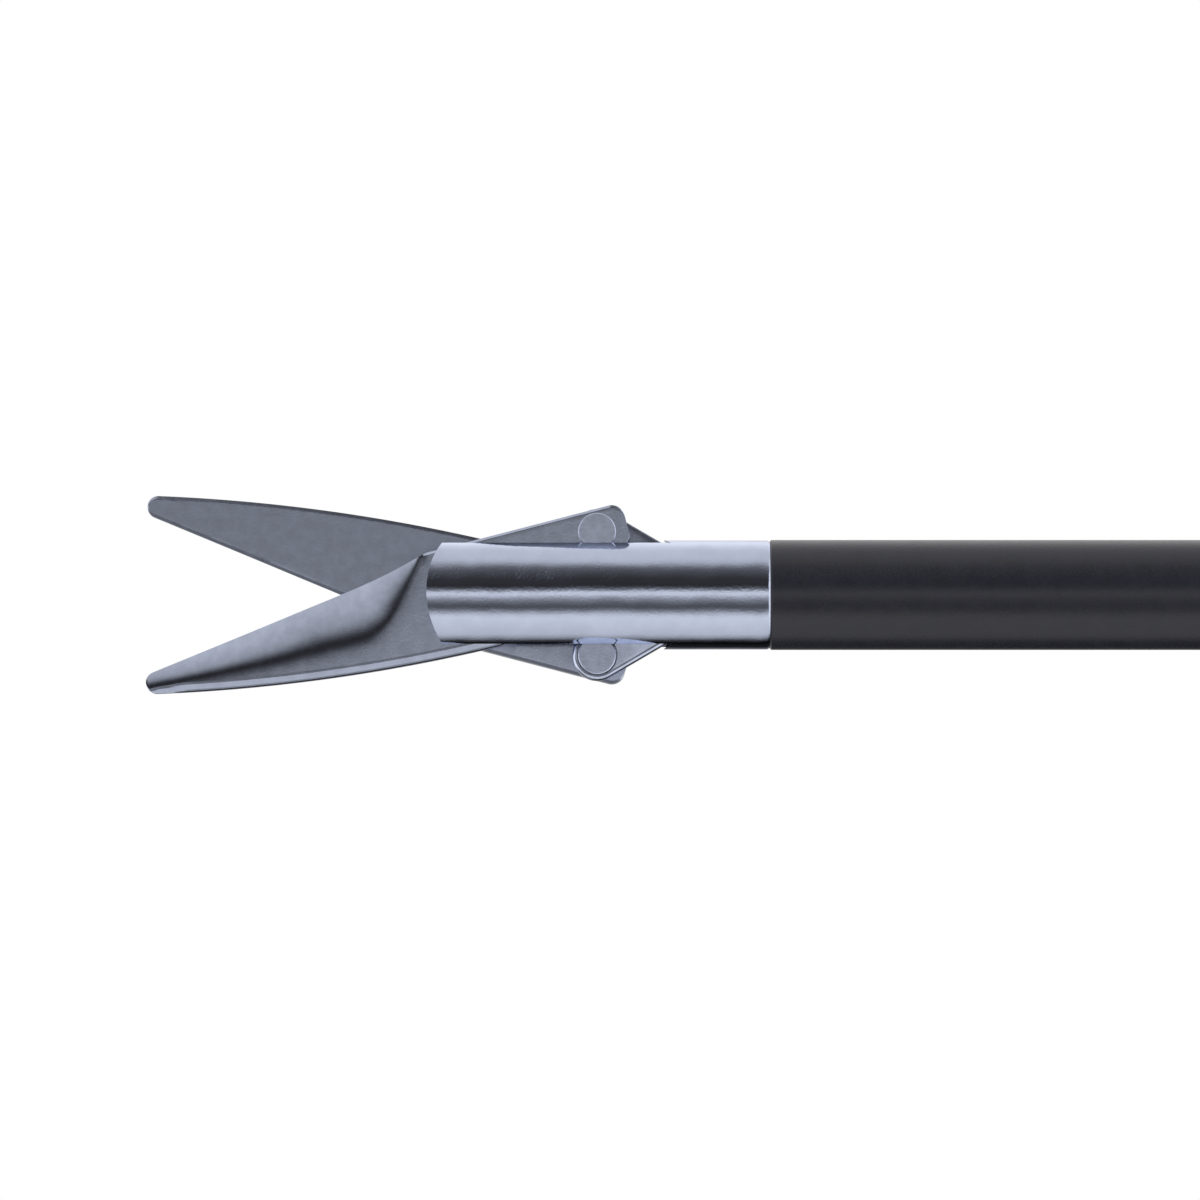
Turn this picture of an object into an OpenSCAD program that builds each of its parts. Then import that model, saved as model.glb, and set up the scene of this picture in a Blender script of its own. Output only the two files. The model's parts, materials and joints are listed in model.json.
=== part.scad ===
// Laparoscopic scissors: a 5 mm insulated shaft with double-action jaws and a ring handle.
// X runs along the shaft from the jaws (-X) to the handle (+X), and Z is up.
// The origin is on the shaft axis, at the front face of the flush hub.
// The jaws and the handle are drawn fully open, which is the rest position.

/* [Shaft] */
// Working length, from the flush hub to the tips of the closed jaws
working_length = 330; // [240:5:420]
// Outer diameter of the insulated shaft
shaft_d = 5; // [4.9:0.05:5.4]
// Wall of the insulating sleeve
insulation_wall = 0.3; // [0.15:0.05:0.3]
// Wall of the steel shaft tube
tube_wall = 0.2; // [0.15:0.05:0.25]
// Diameter of the drive rod
rod_d = 1.8; // [1.2:0.1:1.9]
// Length of one rod guide inside the tube
guide_length = 6; // [3:0.5:12]
// Number of rod guides inside the tube
guide_count = 3; // [2:1:5]

/* [Jaws] */
// From the jaw pivot to the tip of a jaw
jaw_length = 15.9; // [14:0.1:19]
// Angle that each jaw opens by
jaw_open_angle = 14.6; // [10:0.2:15]
// Thickness of one blade, and of one link
blade_thickness = 0.84; // [0.7:0.02:0.84]
// Thickness that is left of a blade at its tip
tip_thickness = 0.65; // [0.56:0.01:0.7]
// Radius of a jaw's tip
tip_r = 0.5; // [0.35:0.05:0.6]
// Radius of the jaw's curved spine
spine_r = 80; // [60:5:120]
// Width of the chamfer along the outer side of the spine
spine_chamfer = 0.44; // [0.2:0.02:0.5]
// Radius of the convex grind, across the blade
grind_r = 10; // [9:0.1:14]
// Radius of the grind's run-out, along the blade
grind_runout_r = 6.5; // [5.5:0.5:9]
// Radius of the jaw pivot pin
pivot_pin_r = 0.8; // [0.5:0.05:0.9]

/* [Linkage] */
// From the jaw pivot to the link pin in a blade's tail
tail_arm = 5.82; // [5.4:0.02:6.2]
// Angle of that arm below the shaft axis when the jaws are closed
tail_angle = 14.3; // [13.8:0.1:14.6]
// From the link pin to the yoke pin
link_length = 5.46; // [5.3:0.02:6.2]
// Half width of a link at the blade's tail
link_end_r = 1.12; // [1:0.02:1.14]
// Half width of a link at the yoke
link_yoke_r = 1.18; // [1.1:0.02:1.24]
// Radius of a link pin
link_pin_r = 0.75; // [0.5:0.05:0.8]
// Radius of the yoke pin
yoke_pin_r = 0.5; // [0.35:0.05:0.6]

/* [Clevis] */
// Radius of the polished clevis
clevis_r = 2.48; // [2.3:0.01:2.5]
// From the jaw pivot forward to the nose of the clevis
nose_reach = 2.62; // [2:0.05:3]
// Radius of the arc that ends the prongs, seen from the side
nose_r = 4.2; // [3:0.1:6]
// From the jaw pivot back to the insulation
clevis_length = 12.95; // [12.8:0.05:14]
// Width of the slot that holds the blades and links
slot_width = 1.84; // [1.8:0.02:1.9]
// Radius of the bore that the yoke slides in
yoke_bore_r = 1.65; // [1.6:0.01:1.7]
// Length of the spigot that is brazed into the tube
spigot_length = 5; // [3:0.5:8]

/* [Flush hub and knob] */
// Radius of the flush hub
hub_r = 5.5; // [4.8:0.1:6.5]
// Length of the flush hub
hub_length = 14; // [12:0.5:18]
// Height of the flush port's mouth above the shaft axis
port_height = 14; // [12:0.5:18]
// Radius of the flush port's tube
port_r = 3; // [2.7:0.1:3.4]
// Largest radius of the flush port's tapered bore
luer_r = 2.15; // [2:0.05:2.3]
// Radius of the rotation knob
knob_r = 12; // [10:0.5:14]
// Length of the rotation knob
knob_length = 20; // [16:0.5:26]
// Number of finger flutes round the knob
knob_flutes = 10; // [6:1:14]
// Radius of one flute's cutter
flute_r = 3.2; // [2:0.1:3.6]

/* [Handle] */
// Half thickness of the handle's head
head_half_y = 8; // [7:0.25:10]
// Wall of the handle's head
head_wall = 2.2; // [1.6:0.1:3]
// Radius that rounds the head's edges
head_edge_r = 3; // [1.5:0.25:3]
// Radius, to the middle of its bar, of the finger ring's upper end
finger_top_r = 12.5; // [11:0.5:15]
// Radius, to the middle of its bar, of the finger ring's lower end
finger_low_r = 14; // [12:0.5:16]
// Width of a ring's bar
ring_bar = 7; // [5:0.25:8]
// Thickness of a ring's bar, across the handle
ring_thick = 9; // [7:0.25:11]
// Radius, to the middle of its bar, of the thumb ring
thumb_r = 14.5; // [13:0.5:17]
// From the lever's axle up to the rod's ball
lever_arm = 5; // [4.5:0.1:6]
// Radius of the lever's axle
axle_r = 2; // [1.5:0.1:2.2]
// Radius of the ball on the end of the rod
ball_r = 2; // [1.7:0.05:2.1]
// Radius of the cable post
post_r = 2; // [1.5:0.1:2.5]
// Bare length of the cable post
post_length = 13; // [9:0.5:18]

/* [Hidden] */
$fn = 96;

steel = "silver";
polished = "gainsboro";
black_plastic = "#26272b";
brass = "#c8a85a";
white_polymer = "whitesmoke";
seal_rubber = "#5a1f1f";

// Clearances that every fit uses
running_gap = 0.03;
layer_gap = 0.03;
sliding_gap = 0.1;
cut_over = 1;

// Small values of the jaws, in the frame of a closed upper jaw
envelope_gap = 0.04;
envelope_r = shaft_d / 2 - envelope_gap;
heel_start = 6.5;
heel_start_z = -1.62;
heel_mid = 3.9;
heel_mid_z = -2.0;
heel_end = 2.2;
tail_corner_r = 0.6;
tail_overhang = 1.4;
tail_top_z = -0.37;
tail_neck_r = 2.0;
tip_drop = 0.35;
taper_start = 3;
ridge_height = 0.68;
ridge_angle = 9;
grind_start = 5.75;
link_play = 0.1;
stroke_share = 1.055;
link_pin_proud = 0.03;
curve_steps = 12;

// Where the jaws and the linkage stand
pivot_x = jaw_length - working_length;
tail_open_angle = tail_angle + jaw_open_angle;
function yoke_reach(angle) = tail_arm * cos(angle)
    + sqrt(pow(link_length, 2) - pow(tail_arm * sin(angle), 2));
function link_tilt(angle) = asin(tail_arm * sin(angle) / link_length);
link_open_angle = link_tilt(tail_open_angle);
yoke_pin_x = pivot_x + yoke_reach(tail_open_angle);
rod_travel = yoke_reach(tail_angle) - yoke_reach(tail_open_angle);
layer_outer = layer_gap + blade_thickness;
taper_angle = atan((blade_thickness - tip_thickness) / (jaw_length - taper_start));

// The convex grind's axis, below the blade's outer face, and where the run-out leaves the blade
grind_depth = grind_r * cos(ridge_angle);
grind_axis_z = ridge_height + grind_r * sin(ridge_angle);
grind_end_r = norm([grind_depth, grind_axis_z + envelope_r + running_gap]);
runout_length = sqrt(pow(grind_runout_r, 2) - pow(grind_runout_r + grind_r - grind_end_r, 2));

// The spine's circle touches the tip's circle and passes over the pivot at the envelope
tip_centre = [-(jaw_length - tip_r), tip_r - tip_drop];
spine_root = [0, envelope_r];
tip_span = norm(tip_centre - spine_root);
tip_bearing = atan2(tip_centre.y - spine_root.y, tip_centre.x - spine_root.x);
spine_corner = acos((pow(spine_r, 2) + pow(tip_span, 2) - pow(spine_r - tip_r, 2))
    / (2 * spine_r * tip_span));
spine_bearing = tip_bearing + 360 + spine_corner;
spine_centre = spine_root + spine_r * [cos(spine_bearing), sin(spine_bearing)];
tip_out = (tip_centre - spine_centre) / norm(tip_centre - spine_centre);

link_pin_at = [tail_arm * cos(tail_angle), -tail_arm * sin(tail_angle)];
tail_end_x = link_pin_at.x + tail_overhang;

// The clevis: its slot ends where an open link, and further in a closed one, would touch it
slot_end_gap = 0.15;
back_bevel = 0.1;
bore_extra = 2;
rod_stroke = stroke_share * rod_travel;
link_closed_angle = link_tilt(tail_angle);
function link_top_x(reach, tilt, z) = reach + (link_yoke_r / cos(tilt) - z) / tan(tilt) + slot_end_gap;
function open_end_x(z) = link_top_x(yoke_reach(tail_open_angle), link_open_angle, z);
function closed_end_x(z) = link_top_x(yoke_reach(tail_open_angle) + rod_stroke, link_closed_angle, z);
bore_side_z = sqrt(pow(yoke_bore_r, 2) - pow(layer_outer, 2));
guide_bore_r = rod_d / 2 + sliding_gap;
tube_r = shaft_d / 2 - insulation_wall;
tube_bore_r = tube_r - tube_wall;
clevis_back_x = pivot_x + clevis_length;

// The yoke on the rod's front end
yoke_front = 1.25;
yoke_back = 3.2;
yoke_gap = 0.05;
yoke_r = yoke_bore_r - yoke_gap;
yoke_slot_depth = 1.35;
rod_socket = 1.6;

// The flush hub, the ferrule and the knob
port_x = hub_length / 2;
port_bore_end_r = 1.2;
port_boss_wall = 1.2;
port_boss_rise = 1;
lug_r = 3.9;
lug_height = 1.2;
lug_width = 2.6;
cap_r = 4.6;
cap_wall = 0.9;
cap_top = 2.2;
cap_skirt = 5;
gasket_height = 0.8;
cap_ribs = 12;
cap_rib_r = 0.5;
ferrule_r = 4;
ferrule_nose = 5;
ferrule_nose_r = 3.2;
port_foot_z = ferrule_nose_r + sliding_gap;
seal_inset = 9;
seal_x = hub_length + seal_inset;
seal_length = 3;
seal_r = 2.9;
seal_lip = 0.5;
seal_seat = 1;
screw_bite = 0.5;
knob_gap = 1;
knob_front_x = hub_length + knob_gap;
knob_back_x = knob_front_x + knob_length;
knob_nose = 5;
knob_nose_r = 7.5;
knob_edge_r = 1.5;
knob_tail = 2;
knob_tail_r = 9;
flute_depth = 1.6;
knob_screw_r = 1.5;
knob_screw_share = 0.66;
knob_screw_x = knob_front_x + knob_length * knob_screw_share;
knob_screw_depth = 4.5;
hex_key_r = 0.85;
hex_key_depth = 1.6;

// The handle's head, and the neck that carries the shaft
neck_gap = 0.4;
head_front_x = knob_back_x + neck_gap;
bush_length = 12;
bush_flange = 1.5;
bush_wall = 1.6;
bush_flange_width = 1.2;
bush_flange_r = ferrule_r + bush_wall + bush_flange_width;
ferrule_tail = 3.4;
ferrule_end_x = head_front_x + bush_length + ferrule_tail;
clip_play = 0.3;
clip_x = head_front_x + bush_length + clip_play;
clip_thick = 0.8;
clip_r = 5.4;
clip_groove_r = 3.3;
clip_mouth_share = 0.8;
ring_groove_x = head_front_x + bush_length / 2;
ring_groove_r = 2.9;
friction_ring_r = (ferrule_r - ring_groove_r - running_gap) / 2;
ring_groove_half = friction_ring_r + sliding_gap;

// The lever: its axle, and the fork that holds the ball
head_length = 43;
head_rear_x = head_front_x + head_length;
axle_inset = 12;
lever_axle_x = head_rear_x - axle_inset;
lever_axle_z = -lever_arm;
lever_travel = 2 * atan(rod_stroke / 2 / lever_arm);
ball_x = lever_axle_x - rod_stroke / 2;
plate_half_y = 3;
plate_boss_r = 5.2;
plate_head_r = 3.6;
plate_top = 2.4;
plate_tail_length = 26;
plate_tail_half = 3;
plate_rivet_shares = [0.62, 0.88];
rivet_r = 1.25;
ball_gap = 0.08;
fork_gap = 0.55;

// Screws that hold the two shells together
screw_r = 1.1;
screw_head_r = 2.1;
screw_head_depth = 1.6;
screw_sunk = 0.2;
screw_end_gap = 0.4;
screw_inset = 5;
nut_r = 2;
nut_depth = 1.6;
screw_slot = 0.5;

// The head in side view. Each corner has a share of the head's length, and shares of the neck's
// half height for its own height and its radius. They run from the neck under the head and back.
neck_half = bush_flange_r + head_wall;
head_low_z = lever_axle_z - plate_boss_r - 2 * head_wall;
head_low_share = head_low_z / neck_half;
head_corner_shares = [
    [0, -1, 0.36], [0.2, -1, 0.67], [0.3, head_low_share, 0.44], [0.88, head_low_share, 0.39],
    [1, -0.4, 0.78], [0.94, 1.04, 0.78], [0.7, 1.39, 1], [0.24, 1.39, 0.78], [0.12, 1, 0.67],
    [0, 1, 0.36]
];
head_corners = [for (s = head_corner_shares)
    [head_front_x + head_length * s.x, neck_half * s.y, neck_half * s.z]];
corner_steps = 6;
edge_steps = 4;
least_r = 0.01;

// The finger ring hangs below the head, and the thumb ring below the lever
shank_length = 29.4;
finger_span = 36;
finger_shares = [0.35, 0.163];
finger_top = [head_front_x + head_length * finger_shares[0], head_low_z - shank_length];
finger_low = [head_front_x + head_length * finger_shares[1], finger_top.y - finger_span];
shank_half_y = 5.6;
shank_edge_r = 2.2;
shank_corner_r = 2.5;
shank_sink = 3;
shank_shares = [-0.72, 0.64, 0.63, 0.3];
shank_foot_z = finger_top.y + finger_top_r - shank_sink;
shank_corners = [
    [finger_top.x + finger_top_r * shank_shares[0], shank_foot_z, shank_corner_r],
    [finger_top.x + finger_top_r * shank_shares[1], shank_foot_z, shank_corner_r],
    [head_front_x + head_length * shank_shares[2], head_low_z + shank_sink, shank_corner_r],
    [head_front_x + head_length * shank_shares[3], head_low_z + shank_sink, shank_corner_r]
];
ring_corner_r = 2.8;
arc_steps = 20;
thumb_reach = 70.7;
tail_rest_bearing = -61.3;
lever_gap_y = 0.4;
tail_mid_bearing = tail_rest_bearing - lever_travel / 2;

// Outline of the thumb lever's arm, from distances along it and widths to its two sides
arm_half_y = 5.4;
arm_edge_r = 2.4;
arm_top = 13.5;
arm_sink = 1;
arm_half = 5;
arm_waist_half = 3.8;
arm_waist_r = 20;
arm_corner_r = 3;
arm_waist_share = 0.7;
arm_end = thumb_reach - thumb_r + arm_sink;
arm_waist = arm_top + (arm_end - arm_top) * arm_waist_share;
function on_arm(along, across) = [lever_axle_x, lever_axle_z]
    + along * [cos(tail_rest_bearing), sin(tail_rest_bearing)]
    + across * [-sin(tail_rest_bearing), cos(tail_rest_bearing)];
function arm_corner(along, across, r) =
    let (p = on_arm(along, across))
    [p.x, p.y, r];
thumb_centre = on_arm(thumb_reach, 0);
arm_corners = [
    arm_corner(arm_top, -arm_half, arm_corner_r),
    arm_corner(arm_waist, -arm_waist_half, arm_waist_r),
    arm_corner(arm_end, -arm_half, arm_corner_r),
    arm_corner(arm_end, arm_half, arm_corner_r),
    arm_corner(arm_waist, arm_waist_half, arm_waist_r),
    arm_corner(arm_top, arm_half, arm_corner_r)
];

// Where the shell screws stand: x, z and half the handle's thickness there
front_screw_x = clip_x + clip_thick + 2 * screw_head_r;
rear_screw_share = 0.3;
screw_places = [
    [front_screw_x, clip_r + neck_gap + screw_head_r, head_half_y],
    [head_rear_x - screw_inset, neck_half * rear_screw_share, head_half_y],
    [front_screw_x, head_low_z + 2 * screw_head_r, head_half_y],
    [finger_top.x, finger_top.y + finger_top_r + screw_head_r, shank_half_y],
    [finger_low.x, finger_low.y - finger_low_r, ring_thick / 2]
];

axle_head_r = 3.6;
axle_head_depth = 1.8;
axle_nut_r = 3.4;
axle_slot = 0.7;

post_inset = 14;
post_x = head_rear_x - post_inset;
post_lean = 30;
post_root_r = 1.4;
post_base_r = 3;
post_tip = 0.5;
collar_r = 4.2;
collar_height = 4;
collar_seat = 5.2;
collar_bevel = 0.6;
post_start_z = clip_r + neck_gap;
spring_thick = 0.4;
spring_width = 4;
spring_hook = 0.4;

// The pin that stops the lever when the jaws are fully open
stop_r = 1.5;
stop_cover = 2;
stop_gap = 0.1;
stop_along = 5;
stop_at = [lever_axle_x, lever_axle_z]
    + stop_along * [cos(tail_rest_bearing), sin(tail_rest_bearing)]
    + (plate_tail_half + stop_r + stop_gap) * [-sin(tail_rest_bearing), cos(tail_rest_bearing)];

// Helpers

module along_x(x0, x1, r, r_end = undef) {
    translate([x0, 0, 0]) rotate([0, 90, 0])
        cylinder(h = x1 - x0, r1 = r, r2 = is_undef(r_end) ? r : r_end);
}

module along_y(y0, y1, r) {
    translate([0, y1, 0]) rotate([90, 0, 0]) cylinder(h = y1 - y0, r = r);
}

// A flat outline, drawn in x and z, made into a plate between two values of y
module plate(y0, y1) {
    translate([0, y1, 0]) rotate([90, 0, 0]) linear_extrude(y1 - y0) children();
}

// Two circles and their outer tangents
module bar_outline(p, r_p, q, r_q) {
    span = norm(q - p);
    bearing = atan2(q.y - p.y, q.x - p.x);
    lean = acos((r_p - r_q) / span);
    translate(p) circle(r_p);
    translate(q) circle(r_q);
    polygon([for (c = [[p, r_p, -lean], [q, r_q, -lean], [q, r_q, lean], [p, r_p, lean]])
        c[0] + c[1] * [cos(bearing + c[2]), sin(bearing + c[2])]]);
}

function curve_point(a, b, c, t) = pow(1 - t, 2) * a + 2 * t * (1 - t) * b + pow(t, 2) * c;

// Where the straight line from a point touches a circle, on the circle's lower left side
function touch_point(from, centre, r) =
    let (span = norm(from - centre),
        bearing = atan2(from.y - centre.y, from.x - centre.x),
        lean = acos(r / span))
    centre + r * [cos(bearing - lean), sin(bearing - lean)];

// A corner of an outline, moved in by an inset and rounded. Corners run counter-clockwise.
function corner_arc(before, corner, after, r, inset, steps) =
    let (u = (corner - before) / norm(corner - before),
        v = (after - corner) / norm(after - corner),
        turn = u.x * v.y - u.y * v.x,
        bulge = turn > 0 ? 1 : -1,
        half = acos(max(-1, min(1, u * v))) / 2,
        left_u = [-u.y, u.x],
        left_v = [-v.y, v.x],
        bisector = (left_u + left_v) / norm(left_u + left_v),
        centre = corner + bisector * bulge * r / cos(half),
        arc_r = max(least_r, r - bulge * inset),
        from = atan2(-bulge * left_u.y, -bulge * left_u.x))
    [for (i = [0 : steps]) let (a = from + bulge * 2 * half * i / steps)
        centre + arc_r * [cos(a), sin(a)]];

function rounded_loop(corners, inset, steps) =
    let (n = len(corners))
    [for (i = [0 : n - 1])
        let (b = corners[(i + n - 1) % n], c = corners[i], d = corners[(i + 1) % n])
        each corner_arc([b.x, b.y], [c.x, c.y], [d.x, d.y], c.z, inset, steps)];

// A slab with that outline in x and z, whose edges are rounded on both sides
module rounded_slab(corners, half_y, edge_r) {
    sides = [for (i = [0 : edge_steps]) let (a = 90 * i / edge_steps)
        [-half_y + edge_r * (1 - sin(a)), edge_r * (1 - cos(a))]];
    levels = concat([for (i = [edge_steps : -1 : 0]) sides[i]],
        [for (s = sides) [-s.x, s.y]]);
    loops = [for (s = levels) [for (p = rounded_loop(corners, s.y, corner_steps))
        [p.x, s.x, p.y]]];
    n = len(loops[0]);
    rows = len(loops);
    polyhedron(
        points = [for (row = loops) each row],
        faces = concat(
            [[for (i = [n - 1 : -1 : 0]) i]],
            [[for (i = [0 : n - 1]) (rows - 1) * n + i]],
            [for (k = [0 : rows - 2]) for (i = [0 : n - 1])
                each [[k * n + i, k * n + (i + 1) % n, (k + 1) * n + (i + 1) % n],
                    [k * n + i, (k + 1) * n + (i + 1) % n, (k + 1) * n + i]]]),
        convexity = 6);
}

// Outline of a ring's bar, from the ring's middle line outward and across the handle
ring_section = [for (side = [[1, 1, 0], [-1, 1, 90], [-1, -1, 180], [1, -1, 270]])
    for (i = [0 : edge_steps]) let (a = side.z + 90 * i / edge_steps)
        [side.x * (ring_bar / 2 - ring_corner_r) + ring_corner_r * cos(a),
            side.y * (ring_thick / 2 - ring_corner_r) + ring_corner_r * sin(a)]];

// A bar swept round a closed path in x and z. Each point of it has a place and an outward bearing.
module swept_bar(path) {
    n = len(ring_section);
    rows = len(path);
    polyhedron(
        points = [for (p = path) for (s = ring_section)
            [p.x + s.x * cos(p.z), s.y, p.y + s.x * sin(p.z)]],
        faces = [for (k = [0 : rows - 1]) for (i = [0 : n - 1])
            let (a = k * n + i, b = k * n + (i + 1) % n, m = (k + 1) % rows,
                c = m * n + (i + 1) % n, d = m * n + i)
            each [[a, d, c], [a, c, b]]],
        convexity = 6);
}

function arc_path(centre, r, from, sweep) = [for (i = [0 : arc_steps])
    let (a = from + sweep * i / arc_steps)
    [centre.x + r * cos(a), centre.y + r * sin(a), a]];

// Jaws and linkage

module open_upper() {
    translate([pivot_x, 0, 0]) rotate([0, jaw_open_angle, 0]) children();
}

module open_lower() {
    translate([pivot_x, 0, 0]) rotate([0, -jaw_open_angle, 0]) rotate([180, 0, 0]) children();
}

module blade_outline() {
    heel = [for (i = [0 : curve_steps]) curve_point([-heel_start, heel_start_z],
        [-heel_mid, heel_mid_z], [-heel_end, -envelope_r], i / curve_steps)];
    tail_edge = [tail_end_x - tail_corner_r, tail_top_z];
    tail_lean = acos(tail_neck_r / norm(tail_edge));
    tail_bearing = atan2(tail_edge.y, tail_edge.x) + tail_lean;
    intersection() {
        union() {
            translate(tip_centre) circle(tip_r);
            polygon(concat([tip_centre, touch_point(heel[0], tip_centre, tip_r)], heel,
                [[0, -envelope_r], [0, 2 * envelope_r], tip_centre + envelope_r * tip_out]));
        }
        translate(spine_centre) circle(spine_r);
    }
    circle(envelope_r);
    polygon([[0, -envelope_r], [tail_end_x - tail_corner_r, -envelope_r],
        [tail_end_x, -envelope_r + tail_corner_r], [tail_end_x, tail_top_z - tail_corner_r],
        tail_edge, tail_neck_r * [cos(tail_bearing), sin(tail_bearing)], [0, 0]]);
    translate([tail_end_x - tail_corner_r, -envelope_r + tail_corner_r]) circle(tail_corner_r);
    translate([tail_end_x - tail_corner_r, tail_top_z - tail_corner_r]) circle(tail_corner_r);
}

// Turns its children to lie along the blade's tapered outer face
module along_taper() {
    translate([-taper_start, layer_outer, 0]) rotate([0, 0, taper_angle]) children();
}

// What the grinder takes from the outer face between the ridge and the edge: all that stands
// outside a round bar, which flares where the grind runs out in front of the clevis
module grind_waste() {
    translate([taper_start - grind_start, -grind_depth, grind_axis_z]) difference() {
        translate([-jaw_length, 0, -jaw_length])
            cube([jaw_length + runout_length, 2 * grind_r, jaw_length]);
        rotate([0, 90, 0]) rotate_extrude() {
            translate([0, -jaw_length - cut_over]) square([grind_r, jaw_length + cut_over]);
            difference() {
                square([grind_end_r + cut_over, runout_length + cut_over]);
                translate([grind_r + grind_runout_r, 0]) circle(grind_runout_r);
            }
        }
    }
}

// The upper jaw, closed: its flat inner face is the shear plane, and its outer face is +Y
module jaw() {
    cone_drop = blade_thickness + cut_over;
    difference() {
        intersection() {
            plate(layer_gap, layer_outer) blade_outline();
            along_taper() translate([spine_centre.x + taper_start, 0, spine_centre.y])
                rotate([90, 0, 0])
                translate([0, 0, -cut_over]) cylinder(h = cone_drop + cut_over,
                    r1 = spine_r - spine_chamfer - cut_over,
                    r2 = spine_r - spine_chamfer + cone_drop);
        }
        along_taper() translate([-jaw_length, 0, -jaw_length])
            cube([jaw_length, blade_thickness, 2 * jaw_length]);
        along_taper() grind_waste();
        along_y(-cut_over, layer_outer + cut_over, pivot_pin_r + running_gap);
        translate([link_pin_at.x, 0, link_pin_at.y])
            along_y(-cut_over, layer_outer + cut_over, link_pin_r);
    }
}

// The pin is fixed in the blade's tail and passes through the link in the other layer
module link_pin() {
    translate([link_pin_at.x, 0, link_pin_at.y])
        along_y(-layer_outer - link_pin_proud, layer_outer, link_pin_r);
}

module blade_rear() {
    color(steel) open_upper() jaw();
}

module blade_front() {
    color(steel) open_lower() jaw();
}

module link_pin_rear() {
    color(polished) open_upper() link_pin();
}

module link_pin_front() {
    color(polished) open_lower() link_pin();
}

// A link in the layer behind the shear plane, from the yoke pin up to the front blade's tail
module upper_link() {
    rotate([0, link_open_angle, 0]) difference() {
        plate(layer_gap, layer_outer)
            bar_outline([0, 0], link_yoke_r, [-link_length, 0], link_end_r);
        along_y(0, layer_outer + cut_over, yoke_pin_r + running_gap);
        translate([-link_length, 0, 0])
            along_y(0, layer_outer + cut_over, link_pin_r + link_play);
    }
}

module link_rear() {
    color(steel) translate([yoke_pin_x, 0, 0]) upper_link();
}

module link_front() {
    color(steel) translate([yoke_pin_x, 0, 0]) rotate([180, 0, 0]) upper_link();
}

// Clevis, yoke and rod

// The slot's side view: its end follows a link's upper edge, outside the bore and within it
module slot_outline() {
    top_z = clevis_r + cut_over;
    top = [[closed_end_x(bore_side_z), bore_side_z], [closed_end_x(yoke_bore_r), yoke_bore_r],
        [open_end_x(top_z), top_z], [-nose_reach - cut_over, top_z]];
    polygon(concat(top, [for (i = [len(top) - 1 : -1 : 0]) [top[i].x, -top[i].y]]));
}

// Seen from the side the prongs end in a flat arc
module nose_outline() {
    translate([nose_r - nose_reach, 0]) circle(nose_r);
    translate([nose_r - nose_reach, -nose_r]) square([clevis_length, 2 * nose_r]);
}

module distal_clevis() {
    bore_end = clevis_length + bore_extra;
    color(polished) translate([pivot_x, 0, 0]) difference() {
        union() {
            intersection() {
                rotate([0, 90, 0]) rotate_extrude()
                    polygon([[0, -nose_reach], [clevis_r, -nose_reach],
                        [clevis_r, clevis_length - back_bevel],
                        [clevis_r - back_bevel, clevis_length], [0, clevis_length]]);
                plate(-clevis_r - cut_over, clevis_r + cut_over) nose_outline();
            }
            along_x(clevis_length, clevis_length + spigot_length, tube_bore_r);
        }
        along_x(0, bore_end, yoke_bore_r);
        along_x(bore_end, clevis_length + spigot_length + cut_over, guide_bore_r);
        plate(-slot_width / 2, slot_width / 2) slot_outline();
        along_y(-clevis_r - cut_over, clevis_r + cut_over, pivot_pin_r);
    }
}

// The pivot pin is ground off flush with the round of the clevis
module jaw_pivot_pin() {
    color(polished) translate([pivot_x, 0, 0]) intersection() {
        along_y(-clevis_r, clevis_r, pivot_pin_r);
        along_x(-nose_reach, nose_reach, clevis_r);
    }
}

module rod_yoke() {
    color(steel) translate([yoke_pin_x, 0, 0]) difference() {
        along_x(-yoke_front, yoke_back, yoke_r);
        translate([-yoke_front - cut_over, -slot_width / 2, -yoke_r - cut_over])
            cube([yoke_front + yoke_slot_depth + cut_over, slot_width, 2 * (yoke_r + cut_over)]);
        along_y(-yoke_r - cut_over, yoke_r + cut_over, yoke_pin_r);
        along_x(yoke_back - rod_socket, yoke_back + cut_over, rod_d / 2);
    }
}

module yoke_pin() {
    color(polished) translate([yoke_pin_x, 0, 0]) intersection() {
        along_y(-yoke_r, yoke_r, yoke_pin_r);
        along_x(-yoke_front, yoke_back, yoke_r);
    }
}

module drive_rod() {
    color(steel) along_x(yoke_pin_x + yoke_back - rod_socket, ball_x, rod_d / 2);
}

// Polymer guides keep the thin rod straight inside the tube
module rod_guides() {
    first = clevis_back_x + spigot_length + guide_length;
    last = -guide_length * 2;
    color(white_polymer) for (i = [0 : guide_count - 1])
        let (x = first + (last - first) * (2 * i + 1) / (2 * guide_count))
        difference() {
            along_x(x, x + guide_length, tube_bore_r);
            along_x(x - cut_over, x + guide_length + cut_over, guide_bore_r);
        }
}

// Shaft tube and its insulation

module shaft_tube() {
    color(polished) difference() {
        along_x(clevis_back_x, seal_x - seal_seat, tube_r);
        along_x(clevis_back_x - cut_over, seal_x, tube_bore_r);
        translate([port_x, 0, 0]) cylinder(h = shaft_d, r = port_bore_end_r);
    }
}

module insulation_sleeve() {
    color(black_plastic) difference() {
        along_x(clevis_back_x, 0, shaft_d / 2);
        along_x(clevis_back_x - cut_over, cut_over, tube_r);
    }
}

// Flush hub, port and cap

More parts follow.
